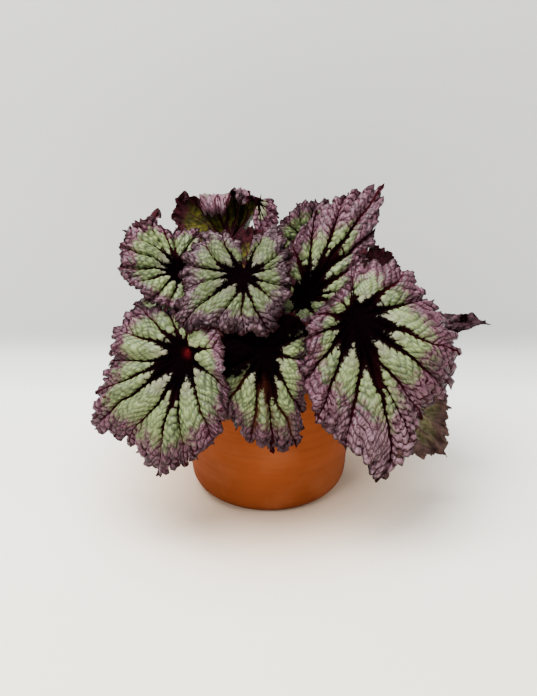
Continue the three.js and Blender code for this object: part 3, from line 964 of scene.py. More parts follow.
    def pattern_places(
        self, u: np.ndarray, s: np.ndarray, arc: np.ndarray, smooth: np.ndarray
    ) -> SimpleNamespace:
        """The pattern's own coordinates: the main veins wander, and side veins leave them at a slant.

        Args:
            u: Places counted in veins.
            s: Shares of the way to the margin.
            arc: The way along the margin in millimetres.
            smooth: The places on the smooth surface, one row each.

        Returns:
            One array for each of the coordinates, by name.
        """
        reach = self.along(REACH, u)
        radial = reach * s
        field_angle = self.field_angle(u, s)
        sway = soft_noise(smooth, SWAY, self.seed)
        fine_sway = soft_noise(smooth, FINE_SWAY, self.seed + 3)
        span = np.maximum(radial * field_angle, 0.3)
        free = smooth_step(0.12, 0.4, s) * (1 - smooth_step(0.9, 1.0, s))
        vein = u + np.clip(VEIN_WANDER * sway[:, 0] / span, -0.2, 0.2) * free
        apart = 1 - np.abs(2 * (vein - np.floor(vein)) - 1)
        from_vein = apart / 2 * span
        slant = SIDE_VEIN_SLANT * (0.65 + 0.8 * s)
        spacing = SIDE_VEIN_SPACING + SIDE_VEIN_GROWTH * self.size()
        phase = radial * np.exp(-field_angle / 2 * apart * slant) / spacing
        phase += 0.5 * sway[:, 1] + 0.17 * fine_sway[:, 0]
        run = from_vein * np.hypot(1, slant) / BLISTER_LENGTH + 0.7 * sway[:, 2] + 0.33 * fine_sway[:, 1]
        return SimpleNamespace(
            u=u, s=s, arc=arc, reach=reach, radial=radial, sway=sway, fine_sway=fine_sway, span=span,
            vein=vein, apart=apart, from_vein=from_vein, phase=phase, run=run,
        )

    def pattern(self, at: SimpleNamespace) -> dict[str, np.ndarray]:
        """The attributes that the leaf's materials read.

        Args:
            at: The pattern's coordinates.

        Returns:
            For each name one value at each place.
        """
        s = at.s
        turned = self.angle_at(at.u, s)
        tip_index = int(np.argmin(np.abs(self.column(ANGLE))))
        midrib = 1 + MIDRIB_EXTRA * np.exp(-((at.u - tip_index) ** 2) * 5)
        heart = sum(share * np.exp(-((s / far) ** 2)) for share, far in BAND_SPREAD)
        width = self.dark * midrib * (heart * self.size() + BAND_WIDTH)
        tip_light = self.tip_silver * smooth_step(0.55, 0.8, s) * np.exp(-((turned / 22) ** 2))
        # painted shadow: the lobes behind the junction are darkened, and the dark heart widens there
        painted_hood = self.painted_hood_shadow * smooth_step(60, 108, np.abs(turned - HOOD_TURN))
        amber = np.zeros_like(s)
        for index, start, half_width in self.amber:
            beside = np.exp(-(((at.vein - index) * at.span / half_width) ** 2))
            amber += beside * smooth_step(start, start + 0.15, s) * (1 - smooth_step(0.75, 0.95, s))
        values = (
            s,
            at.vein,
            at.span / width,
            at.apart,
            at.phase,
            at.run,
            (s - self.green - 0.09 * at.sway[:, 0] + 0.05 * (0.5 - at.apart)) * ZONE_CONTRAST,
            (1 - s) * at.reach,
            self.silver + tip_light,
            amber,
            # painted shade, with the painted shadow behind the junction and the darkening towards the margin
            self.painted_shade + painted_hood + self.margin_darkening * smooth_step(0.65, 1.0, s),
            self.red * np.exp(-((at.radial / HEART_RADIUS) ** 2)),
        )
        return dict(zip(PATTERN_NAMES, values, strict=True))

    def relief(self, at: SimpleNamespace) -> np.ndarray:
        """Sunk main veins, pillows between side veins, blisters and a crisped margin.

        Args:
            at: The pattern's coordinates.

        Returns:
            The height over the smooth surface in millimetres at each place.
        """
        s = at.s
        row = np.floor(at.phase)
        cushion = smooth_step(0.06, 0.25, s)
        field_width = np.minimum(at.span / 12, 1)
        groove = -GROOVE_DEPTH * np.exp(-((at.from_vein / GROOVE_WIDTH) ** 2)) * (1 - 0.5 * s)
        groove = groove * smooth_step(0.08, 0.3, s) * field_width
        bulge = FIELD_RISE * np.sqrt(np.clip(at.apart, 0, 1)) * field_width * smooth_step(0.05, 0.3, s)
        pillow = PILLOW_RISE * dome(at.phase) * cushion * smooth_step(0.3, 3.5, at.from_vein)
        blister = BLISTER_RISE * dome(at.phase) * dome(at.run + ROW_SHIFT * row) * cushion
        blister *= smooth_step(0.2, 2.0, at.from_vein) * (1 + 0.5 * at.fine_sway[:, 2])
        lively = min(1, self.size() / LIVELY_SIZE)
        crisp_turn = 2 * np.pi * at.arc / CRISP_LENGTH + self.seed + 2.5 * at.sway[:, 0]
        frill_turn = 2 * np.pi * at.arc / FRILL_LENGTH + self.seed * 2 + 3.0 * at.sway[:, 1]
        crisp = CRISP_HEIGHT * lively * s**4 * np.sin(crisp_turn)
        frill = FRILL_HEIGHT * lively * s**8 * np.sin(frill_turn)
        return groove + bulge + pillow + blister + crisp + frill

    def mesh(self, materials: list[bpy.types.Material]) -> bpy.types.Mesh:
        """Builds the blade with its relief, its thickness and the pattern's attributes.

        Args:
            materials: The upper face's and the underside's materials.

        Returns:
            The blade's mesh in metres.
        """
        stations = self.stations()
        net = self.flat_net(stations[-1])
        flat = np.empty(len(net.vertices) * 3)
        net.vertices.foreach_get("co", flat)
        u = np.interp(flat[0::3], stations, np.arange(len(stations)))
        s = np.clip(flat[1::3], 0, 1)
        arc, jag = self.margin_teeth(u)
        smooth = self.surface(u, s, jag)
        at = self.pattern_places(u, s, arc, smooth)
        places = smooth + self.normals(u, s) * self.relief(at)[:, None]
        places[s < 1e-6] = self.junction
        net.vertices.foreach_set("co", (places * MM).ravel())
        for name, values in self.pattern(at).items():
            layer = net.attributes.new(name, "FLOAT", "POINT")
            layer.data.foreach_set("value", values.astype(np.float32))
        return self.thickened(net, materials)

    @staticmethod
    def thickened(net: bpy.types.Mesh, materials: list[bpy.types.Material]) -> bpy.types.Mesh:
        """Closes the pole, turns the faces up and gives the blade its thickness.

        Args:
            net: The blade's single sheet, which is removed.
            materials: The upper face's and the underside's materials.

        Returns:
            The thick blade's mesh.
        """
        bm = bmesh.new()
        bm.from_mesh(net)
        bmesh.ops.remove_doubles(bm, verts=bm.verts, dist=2e-6)
        bmesh.ops.reverse_faces(bm, faces=bm.faces)
        bm.to_mesh(net)
        bm.free()
        for material in materials:
            net.materials.append(material)
        sheet = linked("sheet", net)
        thickness = sheet.modifiers.new("thickness", "SOLIDIFY")
        thickness.thickness = BLADE * MM
        thickness.offset = 0.0
        thickness.material_offset = 1
        thickness.material_offset_rim = 1
        thick = applied(sheet)
        bpy.data.meshes.remove(net)
        return thick


@dataclass(frozen=True)
class Leaf:
    """One leaf: its blade, its hairy stalk and, on one leaf, a part that hangs over. In millimetres."""

    name: str
    foot: tuple[float, float]
    blade: Blade
    stalk: float = 1.0
    arch: float = 0.45
    knob: float = -0.4
    fold: Blade | None = None
    foot_radius: float = 3.3
    top_radius: float = 2.3
    depth: float = 4.0  # of its foot in the mix
    steps: int = 44
    sides: int = 14
    hairs: int = 110
    hair_steps: int = 60
    hair_range: tuple[int, int] = (5, 45)  # the steps between which hairs stand
    hair_lengths: tuple[float, float] = (1.1, 2.6)
    hair_radii: tuple[float, float] = (0.13, 0.02)

    def stalk_line(self, steps: int) -> np.ndarray:
        """Points along the stalk, from inside the mix up to the blade.

        Args:
            steps: How many steps it is cut into.

        Returns:
            Points in millimetres, evenly spaced, one row each.
        """
        tip, _, normal = self.blade.axes()
        x, y = self.foot
        foot = np.array([x, y, MIX_TOP - self.depth])
        top = np.array(self.blade.junction) + normal * self.knob
        length = np.linalg.norm(top - foot)
        rise = foot + np.array([x / 2, y / 2, length * self.arch])
        arrival = 0.8 * normal + 0.5 * tip
        approach = top - arrival / np.linalg.norm(arrival) * length * 0.35
        t = np.linspace(0, 1, 400)[:, None]
        curve = foot * (1 - t) ** 3 + 3 * rise * t * (1 - t) ** 2 + 3 * approach * t**2 * (1 - t) + top * t**3
        way = np.concatenate([[0], np.cumsum(np.linalg.norm(np.diff(curve, axis=0), axis=1))])
        even = np.linspace(0, way[-1], steps + 1)
        return np.stack([np.interp(even, way, curve[:, axis]) for axis in range(3)], 1)

    def stalk_mesh(self) -> bpy.types.Mesh:
        """Builds the stalk, a little swollen at its foot and rounded at its top.

        Returns:
            The stalk's mesh in metres, with the attributes "share" and "glow".
        """
        t = np.linspace(0, 1, self.steps + 1)
        taper = self.foot_radius + (self.top_radius - self.foot_radius) * t
        swell = 1 + 0.1 * np.exp(-((t / 0.08) ** 2)) + 0.03 * np.sin(31 * t + self.blade.seed)
        rounded = np.sqrt(np.clip(1 - ((t - 0.975) / 0.026).clip(0, 1) ** 2, 0.02, 1))
        radii = taper * swell * rounded * self.stalk
        rod = bent_rod(self.stalk_line(self.steps), radii, self.sides, STALK_MATERIAL)
        share = np.empty(len(rod.vertices))
        rod.attributes["share"].data.foreach_get("value", share)
        glow = rod.attributes.new("glow", "FLOAT", "POINT")
        glow.data.foreach_set("value", smooth_step(0.93, 0.97, share) * (self.knob > 0))
        return rod

    def hair_mesh(self) -> bpy.types.Mesh:
        """Builds the short stiff hairs that stand out of the stalk.

        Returns:
            The hairs' mesh in metres.
        """
        draw = np.random.default_rng(int(self.blade.seed))
        line = self.stalk_line(self.hair_steps)
        foot, tip = (radius * MM for radius in self.hair_radii)
        bm = bmesh.new()
        for _ in range(self.hairs):
            k = int(draw.integers(*self.hair_range))
            ahead = Vector(line[k + 1] - line[k - 1]).normalized()
            out = Vector(draw.normal(size=3))
            out = (out - ahead * out.dot(ahead)).normalized()
            taper = self.foot_radius + (self.top_radius - self.foot_radius) * k / self.hair_steps
            radius = taper * self.stalk
            length = draw.uniform(*self.hair_lengths)
            lean = (out + ahead * draw.uniform(-0.3, 0.5)).normalized()
            middle = Vector(line[k]) + out * (radius - 0.2) + lean * length / 2
            place = Matrix.Translation(middle * MM) @ lean.to_track_quat("Z", "Y").to_matrix().to_4x4()
            bmesh.ops.create_cone(
                bm, cap_ends=False, segments=3, radius1=foot, radius2=tip, depth=length * MM, matrix=place
            )
        for face in bm.faces:
            face.material_index = HAIR_MATERIAL
        return as_mesh(bm, "hairs")

    def build(self, materials: list[bpy.types.Material]) -> None:
        """Builds the leaf as one piece.

        Args:
            materials: The materials of the upper face, the underside, the stalk and the hairs.
        """
        blades = [self.blade, self.fold] if self.fold else [self.blade]
        meshes = [blade.mesh(materials[:2]) for blade in blades] + [self.stalk_mesh(), self.hair_mesh()]
        new_piece(self.name.removeprefix("leaf_") + "_leaf", meshes, materials, self.name)


LEAVES = (
    Leaf(
        name="leaf_front_left",
        foot=(-14, -9),
        knob=1.0,
        blade=Blade(
            junction=(-61, -74, 153),
            azimuth=-135, pitch=-66, roll=-24, ruffle=3, seed=1,
            green=0.76, painted_shade=0.12, margin_darkening=0.1, red=1.0,
            leaders=(1, 2, 3, 5, 6, 8, 10, 11, 12),
            veins=(
                (-152, 23, -19, 20), (-129, 42, -14, 30), (-113, 55, -4, 30), (-90, 64, 2, 35),
                (-67, 66, 2, 35), (-49, 83, 1, 40), (-36, 101, 1, 40), (-18, 89, 0, 40), (3, 99, 0, 40),
                (16, 88, 0, 40), (36, 73, 3, 40), (71, 48, 10, 30), (117, 34, 14, 40), (200, 22, -14, 20),
            ),
        ),
    ),
    Leaf(
        name="leaf_front_right",
        foot=(16, -9),
        blade=Blade(
            junction=(65, -62, 177),
            azimuth=-70, pitch=-63, roll=9, ruffle=3.5, seed=2,
            green=0.64, dark=1.1, painted_shade=0.1, tip_silver=0.55,
            hook=(7, -9),
            leaders=(1, 2, 3, 4, 5, 7, 10, 11, 12, 13),
            veins=(
                (-185, 30, -8, 15), (-152, 23, -10, 30), (-105, 32, 0, 20), (-75, 44, 2, 15),
                (-47, 66, 2, 15), (-30, 87, 1, 20), (-13, 101, 0, 25), (8, 129, 0, 35), (15, 111, 2, 40),
                (25, 92, 4, 50), (43, 94, 2, 75), (62, 88, 0, 80), (96, 64, -5, 45), (120, 61, -9, 35),
                (170, 41, -18, 25),
            ),
        ),
    ),
    Leaf(
        name="leaf_front_middle",
        foot=(0, -10),
        blade=Blade(
            junction=(-3, -84, 159),
            azimuth=-78, pitch=-74, roll=5, ruffle=2.5, seed=3, green=0.74, dark=1.45, painted_hood_shadow=2.4,
            margin_darkening=0.55,
            leaders=(1, 2, 3, 4, 5, 7, 8, 9),
            amber=((3, 0.35, 2.4), (4.1, 0.3, 2.4), (4.65, 0.2, 1.4), (5.3, 0.45, 1.8), (6, 0.45, 2.4)),
            veins=(
                (-170, 29, -26, 20), (-118, 36, -20, 25), (-69, 41, -8, 35), (-40, 56, -5, 35),
                (-12, 72, -2, 30), (1, 78, 0, 30), (15, 80, -2, 30), (28, 58, -5, 35), (72, 33, -10, 35),
                (107, 42, -16, 35), (164, 32, -26, 20),
            ),
        ),
    ),
    Leaf(
        name="leaf_crown",
        foot=(-7, -3),
        blade=Blade(
            junction=(-19, -45, 204),
            azimuth=-76, pitch=-36, roll=17, ruffle=2.5, seed=4, green=0.7, dark=1.2, silver=0.85, painted_shade=0.52,
            margin_darkening=0.25,
            leaders=(1, 3, 4, 5, 7, 9, 11, 13),
            veins=(
                (-186, 16, 8, 15), (-164, 46, 4, 30), (-143, 52, 1, 40), (-117, 52, -2, 45),
                (-92, 48, -4, 50), (-65, 64, -6, 55), (-38, 51, -2, 60), (-11, 50, -2, 60),
                (9, 55, -3, 60), (32, 44, -3, 60), (60, 40, -3, 55), (86, 37, -3, 45), (112, 43, -4, 40),
                (145, 49, -4, 30), (159, 17, 4, 15),
            ),
        ),
    ),
    Leaf(
        name="leaf_left_high",
        foot=(-22, -4),
        blade=Blade(
            junction=(-69, -25, 199),
            azimuth=124, pitch=56, roll=-2, ruffle=2, seed=5, green=0.78, dark=1.1,
            hook=(5, -17),
            leaders=(1, 3, 5, 8, 9, 10, 11, 12),
            veins=(
                (-70, 14, 8, 0), (-51, 32, 6, 0), (-41, 42, 3, 0), (-8, 35, -4, 0), (3, 42, -4, -5),
                (15, 56, -3, -30), (24, 55, -4, -10), (37, 57, -3, 10), (52, 53, -3, 25),
                (72, 52, -3, 30), (91, 47, 4, 30), (113, 42, 8, 30), (136, 38, 12, 20), (166, 31, 12, 0),
            ),
        ),
    ),
    Leaf(
        name="leaf_right_high",
        foot=(8, 1),
        blade=Blade(
            junction=(27, -26, 176),
            azimuth=37, pitch=46, roll=37, ruffle=2.5, seed=6, green=0.64, dark=1.3, painted_shade=0.15, painted_hood_shadow=0.4,
            leaders=(1, 3, 4, 6, 8, 10, 11),
            veins=(
                (-176, 33, 14, 0), (-104, 26, 20, 0), (-62, 35, 16, 0), (-44, 50, 7, 10),
                (-24, 62, 1, 10), (-12, 83, -2, 15), (-1, 115, 0, 15), (11, 96, 0, 20), (25, 75, 1, 20),
                (42, 51, 6, 15), (66, 35, 12, 15), (111, 26, 16, 10), (176, 31, 22, 0),
            ),
        ),
    ),
    Leaf(
        name="leaf_back_right_high",
        foot=(6, 10),
        stalk=0.85,
        blade=Blade(
            junction=(28, 22, 201),
            azimuth=40, pitch=54, roll=60, ruffle=2, seed=7, teeth=Teeth.SMALL, green=0.74, painted_shade=0.25,
            veins=(
                (-100, 24, 8, 10), (-58, 33, 5, 15), (-36, 44, 1, 15), (-16, 50, 0, 15), (0, 48, 0, 15),
                (14, 44, 1, 20), (34, 40, 2, 20), (64, 33, 5, 15), (88, 29, 8, 10), (120, 20, 8, 5),
            ),
        ),
    ),
    Leaf(
        name="leaf_back_upright",
        foot=(-12, 13),
        blade=Blade(
            junction=(-35, 28, 203),
            azimuth=75, pitch=55, roll=180, ruffle=2, seed=8, green=0.74, dark=0.55,
            veins=(
                (-150, 17, 10, 20), (-100, 29, 8, 40), (-75, 51, 8, 60), (-54, 66, 4, 80),
                (-45, 60, 0, 120), (-36, 34, 0, 280), (-20, 30, 0, 280), (-8, 31, 0, 275),
                (-2, 52, 0, 150), (11, 38, 0, 255), (25, 52, 2, 80),
            ),
        ),
        fold=Blade(
            junction=(0, 0, 0),
            azimuth=-75, pitch=-72, roll=0, ruffle=1, seed=16, teeth=Teeth.SMALL, green=0.45, dark=0.4,
            veins=(
                (-22, 14, 0, 0), (-9, 26, 0, 10), (2, 35, 0, 15), (14, 34, 0, 15), (28, 31, 0, 15),
                (46, 24, 0, 10), (66, 18, 0, 10), (92, 11, 0, 5),
            ),
        ),
    ),
    Leaf(
        name="leaf_young",
        foot=(-3, 8),
        stalk=0.7,
        blade=Blade(
            junction=(-17, 3, 192),
            azimuth=70, pitch=66, roll=180, ruffle=1.2, seed=9, teeth=Teeth.SMALL, green=0.55, dark=0.5,
            veins=(
                (-89, 16, 14, 0), (-61, 24, 10, 0), (-37, 29, 6, 10), (-18, 35, 2, 20), (-1, 35, 0, 20),
                (14, 34, 2, 20), (32, 29, 6, 10), (54, 17, 12, 0),
            ),
        ),
    ),
    Leaf(
        name="leaf_right_curled",
        foot=(24, 3),
        arch=0.6,
        blade=Blade(
            junction=(110, 10, 138),
            azimuth=5, pitch=1, roll=3, ruffle=1.5, seed=10, teeth=Teeth.SMALL, green=0.4, painted_shade=0.8,
            veins=(
                (-130, 22, -16, 20), (-88, 22, -18, 25), (-50, 26, -18, 35), (-22, 34, -15, 35),
                (-8, 50, -9, 30), (0, 77, 0, -10), (9, 61, -3, 30), (26, 47, -8, 40), (46, 39, -12, 40),
                (72, 34, -14, 40), (112, 28, -14, 25),
            ),
        ),
    ),
    Leaf(
        name="leaf_right_low",
        foot=(22, -6),
        stalk=0.85,
        arch=0.95,
        blade=Blade(
            junction=(98, -36, 103),
            azimuth=-15, pitch=-60, roll=-108, ruffle=2, seed=11, teeth=Teeth.SMALL,
            green=0.72, dark=0.7, silver=0.95,
            veins=(
                (-110, 16, 0, 5), (-66, 29, 0, 10), (-44, 54, 0, 15), (-23, 65, 0, 15), (-11, 78, 0, 15),
                (3, 69, 0, 15), (20, 65, 0, 15), (38, 50, 0, 15), (70, 32, 0, 10), (110, 22, 0, 10),
            ),
        ),
    ),
    Leaf(
        name="leaf_right_small",
        foot=(15, 7),
        stalk=0.8,
        blade=Blade(
            junction=(86, 6, 171),
            azimuth=60, pitch=60, roll=175, ruffle=1.2, seed=12, teeth=Teeth.SMALL, green=0.5, dark=0.5,
            veins=(
                (-92, 16, 5, 10), (-55, 32, 5, 15), (-35, 39, 5, 15), (-16, 42, 3, 20), (5, 37, 3, 20),
                (29, 31, 3, 20), (59, 26, 5, 15), (88, 16, 5, 10),
            ),
        ),
    ),
    Leaf(
        name="leaf_back_middle",
        foot=(-4, 18),
        blade=Blade(
            junction=(-12, 72, 162),
            azimuth=97, pitch=-30, roll=0, ruffle=3, seed=13, green=0.7, cell=1.35,
            veins=(
                (-158, 38, -6, 25), (-118, 46, -4, 35), (-82, 52, -3, 40), (-50, 62, -3, 40),
                (-22, 80, -2, 40), (0, 94, 0, 40), (22, 80, -2, 40), (50, 66, -3, 40), (84, 56, -3, 40),
                (120, 48, -4, 35), (160, 38, -6, 25),
            ),
        ),
    ),
    Leaf(
        name="leaf_back_right",
        foot=(13, 13),
        blade=Blade(
            junction=(60, 62, 144),
            azimuth=56, pitch=-36, roll=0, ruffle=2.5, seed=14, green=0.68, cell=1.35,
            veins=(
                (-158, 32, -6, 25), (-116, 42, -4, 35), (-78, 50, -3, 40), (-44, 62, -3, 40),
                (-18, 76, -2, 40), (6, 84, 0, 40), (30, 68, -3, 40), (62, 56, -3, 40), (104, 46, -4, 35),
                (156, 34, -6, 25),
            ),
        ),
    ),
    Leaf(
        name="leaf_back_left",
        foot=(-22, 11),
        blade=Blade(
            junction=(-72, 42, 148),
            azimuth=152, pitch=-22, roll=0, ruffle=2.5, seed=15, green=0.72, painted_shade=0.75, cell=1.35,
            veins=(
                (-158, 30, -6, 25), (-116, 40, -4, 35), (-78, 48, -3, 40), (-44, 58, -3, 40),
                (-18, 65, -2, 40), (6, 57, 0, 40), (30, 54, -3, 40), (62, 51, -3, 40), (104, 44, -4, 35),
                (156, 32, -6, 25),
            ),
        ),
    ),
)


@dataclass(frozen=True)
class ClayPot:
    """The thrown pot, in millimetres: it widens a little to a rounded lip and has drain holes below."""

    height: float = 130.0
    lip_radius: float = 75.0
    shoulder_radius: float = 66.5
    foot_radius: float = 54.0
    foot_round: float = 16.0
    wall: float = 5.5
    floor: float = 7.0
    corner: float = 6.0  # the slope between the floor and the wall, inside
    turning_rings: tuple[tuple[float, float, float], ...] = ((0.1, 1.15, 0.0), (0.08, 0.43, 1.0))
    wall_steps: int = 60
    drain_radius: float = 5.0
    drain_circle: float = 26.0
    drain_count: int = 3
    turns: int = 144
    finish: FiredClay = FiredClay()

    def outside_at(self, z: float) -> float:
        """The radius of its outside at a height above the foot's rounding."""
        share = (z - self.foot_round) / (self.height - self.foot_round)
        return self.shoulder_radius + (self.lip_radius - self.shoulder_radius) * share

    def profile(self) -> list[tuple[float, float]]:
        """The pot's section from the middle of its foot, round the lip, to the middle of its floor.

        Returns:
            Radius and height pairs in millimetres.
        """
        pairs = [(0.0, 0.0), (self.foot_radius / 2, 0.0)]
        width = self.shoulder_radius - self.foot_radius
        for k in range(ROUND_STEPS + 1):
            turn = math.pi / 2 * k / ROUND_STEPS
            pairs.append((self.foot_radius + width * math.sin(turn), self.foot_round * (1 - math.cos(turn))))
        lip_z = self.height - self.wall / 2
        for k in range(1, self.wall_steps):
            z = self.foot_round + (lip_z - self.foot_round) * k / self.wall_steps
            ring = sum(height * math.sin(z * pace + start) for height, pace, start in self.turning_rings)
            pairs.append((self.outside_at(z) + ring, z))
        middle = self.lip_radius - self.wall / 2
        for k in range(ROUND_STEPS + 1):
            turn = math.pi * k / ROUND_STEPS
            pairs.append((middle + self.wall / 2 * math.cos(turn), lip_z + self.wall / 2 * math.sin(turn)))
        inside = self.shoulder_radius - self.wall
        pairs += [(inside, self.floor + self.corner), (inside - self.corner, self.floor)]
        pairs += [(self.drain_circle, self.floor), (0.0, self.floor)]
        return pairs

    def drain_cutter(self) -> bpy.types.Object:
        """Makes the rods that cut the drain holes.

        Returns:
            One object that holds them all.
        """
        bm = bmesh.new()
        radius = self.drain_radius * MM
        depth = 4 * self.floor * MM
        for k in range(self.drain_count):
            turn = 2 * math.pi * k / self.drain_count
            x, y = self.drain_circle * math.cos(turn) * MM, self.drain_circle * math.sin(turn) * MM
            place = Matrix.Translation((x, y, self.floor / 2 * MM))
            bmesh.ops.create_cone(
                bm, cap_ends=True, segments=32, radius1=radius, radius2=radius, depth=depth, matrix=place
            )
        return linked("drains", as_mesh(bm, "drains"))

    def build(self) -> None:
        """Spins the section, cuts the drain holes and dresses the pot."""
        body = linked("body", as_mesh(spun(self.profile(), self.turns), "clay_pot"))
        cutter = self.drain_cutter()
        cut = body.modifiers.new("drains", "BOOLEAN")
        cut.object = cutter
        cut.operation = "DIFFERENCE"
        cut.solver = "EXACT"
        pierced = applied(body)
        bpy.data.objects.remove(cutter)
        new_piece("clay_pot", [pierced], [self.finish.material()], "pot")


@dataclass(frozen=True)
class Bits:
    """One kind of bit on the mix: how many there are, how large in millimetres, and their proportions."""

    count: int
    sizes: tuple[float, float]
    shape: tuple[float, float, float]
    finish: Grain


@dataclass(frozen=True)
class PottingMix:
    """The mix that fills the pot, crumbly on top, with bits of bark and perlite. In millimetres."""

    pot: ClayPot
    crown: float = 5.0
    dome: tuple[tuple[float, float], ...] = ((0, 1), (0.35, 0.9), (0.7, 0.6), (1, 0))
    clearance: float = 0.3
    corner: float = 5.5  # the width of its slope by the floor
    edge_gap: float = 1.1  # round its top edge, where it has shrunk from the wall
    crumb_rise: float = 0.9
    crumb_sizes: tuple[float, float] = (5.0, 2.2)
    steps: int = 40
    turns: int = 96
    seed: int = 21
    free_edge: float = 3.0  # how far the bits stay from the wall
    finish: Grain = PEAT
    bits: tuple[Bits, ...] = (
        Bits(count=260, sizes=(1.2, 3.0), shape=(1.3, 0.8, 0.45), finish=PINE_BARK),
        Bits(count=90, sizes=(0.8, 1.9), shape=(1.0, 0.9, 0.8), finish=PERLITE),
    )

    def edge(self) -> float:
        """The mix's radius at its top edge."""
        return self.pot.outside_at(MIX_TOP) - self.pot.wall - self.edge_gap

    def top_at(self, radius: float) -> float:
        """The height of the mix's top at a radius."""
        places, heights = np.array(self.dome).T
        return float(np.interp(radius, self.edge() * places, MIX_TOP + self.crown * heights))

    def build(self) -> None:
        """Spins the body, roughens its top and scatters the bits."""
        base = self.pot.shoulder_radius - self.pot.wall - self.pot.corner - self.clearance
        low = self.pot.floor + self.clearance
        pairs = [(0.0, low), (base, low), (base + self.corner, low + self.pot.corner)]
        for k in range(self.steps + 1):
            radius = self.edge() * (1 - k / self.steps)
            pairs.append((radius, self.top_at(radius)))
        bm = spun(pairs, self.turns)
        large, small = (size * MM for size in self.crumb_sizes)
        for vert in bm.verts:
            if vert.co.z > (MIX_TOP - 1) * MM:
                crumb = noise.noise(vert.co / large) + 0.6 * noise.noise(vert.co / small)
                vert.co.z += self.crumb_rise * crumb * MM
        self.scatter(bm)
        materials = [finish.material() for finish in (self.finish, *(kind.finish for kind in self.bits))]
        new_piece("peat_mix", [as_mesh(bm, "peat_mix")], materials, "potting_mix")

    def scatter(self, bm: bmesh.types.BMesh) -> None:
        """Strews the bits over the top.

        Args:
            bm: The mix's mesh, which takes them.
        """
        draw = np.random.default_rng(self.seed)
        for index, kind in enumerate(self.bits, 1):
            for _ in range(kind.count):
                radius = (self.edge() - self.free_edge) * math.sqrt(draw.uniform(0, 1))
                turn = draw.uniform(0, 2 * math.pi)
                size = draw.uniform(*kind.sizes)
                z = self.top_at(radius) + 0.25 * size
                place = Vector((radius * math.cos(turn), radius * math.sin(turn), z))
                turned = Matrix.Rotation(draw.uniform(0, 6.28), 4, Vector(draw.normal(size=3)).normalized())
                shape = Matrix.Diagonal((*(size * part for part in kind.shape), 1))
                matrix = Matrix.Translation(place * MM) @ turned @ shape @ Matrix.Scale(MM, 4)
                made = bmesh.ops.create_icosphere(bm, subdivisions=1, radius=1, matrix=matrix)
                for vert in made["verts"]:
                    vert.co += Vector(draw.uniform(-0.2, 0.2, 3)) * size * MM
                    for face in vert.link_faces:
                        face.material_index = index


@dataclass(frozen=True)
class CreepingRhizome:
    """The knobbly rhizome that creeps over the mix, with scars of old leaves. In millimetres."""

    stations: tuple[tuple[float, float, float], ...] = (
        (-34, 3, MIX_TOP - 2), (-14, 0, MIX_TOP + 4), (10, 2, MIX_TOP + 5), (32, -1, MIX_TOP + 1),
    )
    radius: float = 9.0
    knobs: int = 5
    knob_rise: float = 0.7
    knob_size: float = 4.0
    scar_rise: float = 0.35
    scar_length: float = 1.3
    steps: int = 70
    corner_steps: int = 12  # over which the line's corners are rounded, each way
    sides: int = 28
    finish: Grain = RHIZOME_BARK

    def line(self, t: np.ndarray) -> np.ndarray:
        """The rhizome's middle line, its corners rounded off.

        Args:
            t: Places as shares of its length.

        Returns:
            Points in millimetres, one row each.
        """
        stations = np.array(self.stations)
        numbers = np.arange(len(stations))
        line = np.stack([np.interp(t * numbers[-1], numbers, column) for column in stations.T], 1)
        kernel = np.hanning(2 * self.corner_steps + 1)
        kernel = kernel / kernel.sum()
        padded = np.pad(line, ((self.corner_steps, self.corner_steps), (0, 0)), mode="edge")
        return np.stack([np.convolve(column, kernel, mode="valid") for column in padded.T], 1)

    def build(self) -> None:
        """Bends the rod along its line and gives it knobs and scars."""
        t = np.linspace(0, 1, self.steps + 1)
        knob = 0.88 + 0.12 * np.cos(2 * np.pi * self.knobs * t)
        ends = np.sin(np.pi * (0.12 + 0.76 * t)) ** 0.4
        end_round = np.sqrt(np.clip(1 - np.abs(2 * t - 1) ** 14, 0.05, 1))
        rod = bent_rod(self.line(t), self.radius * knob * ends * end_round, self.sides, 0)
        for vert in rod.vertices:
            scar = self.scar_rise * math.sin(vert.co.x / (self.scar_length * MM))
            lump = self.knob_rise * noise.noise(vert.co / (self.knob_size * MM))
            vert.co += vert.normal * (lump + scar) * MM
        new_piece("creeping_rhizome", [rod], [self.finish.material()], "rhizome")


@dataclass(frozen=True)
class Foliage:
    """All the leaves, which share one set of finishes."""

    face: LeafFace = LeafFace()
    underside: LeafUnderside = LeafUnderside()
    stalk: RedStalk = RedStalk()
    hair: PlantHair = PlantHair()

    def build(self) -> None:
        """Builds every leaf in turn, with the hanging part of the upright leaf put on its blade."""
        materials = [finish.material() for finish in (self.face, self.underside, self.stalk, self.hair)]
        for leaf in LEAVES:
            if leaf.fold:
                u, s = (np.array([value]) for value in FOLD_PLACE)
                hinge = tuple(leaf.blade.surface(u, s)[0])
                leaf = replace(leaf, fold=replace(leaf.fold, junction=hinge))
            leaf.build(materials)


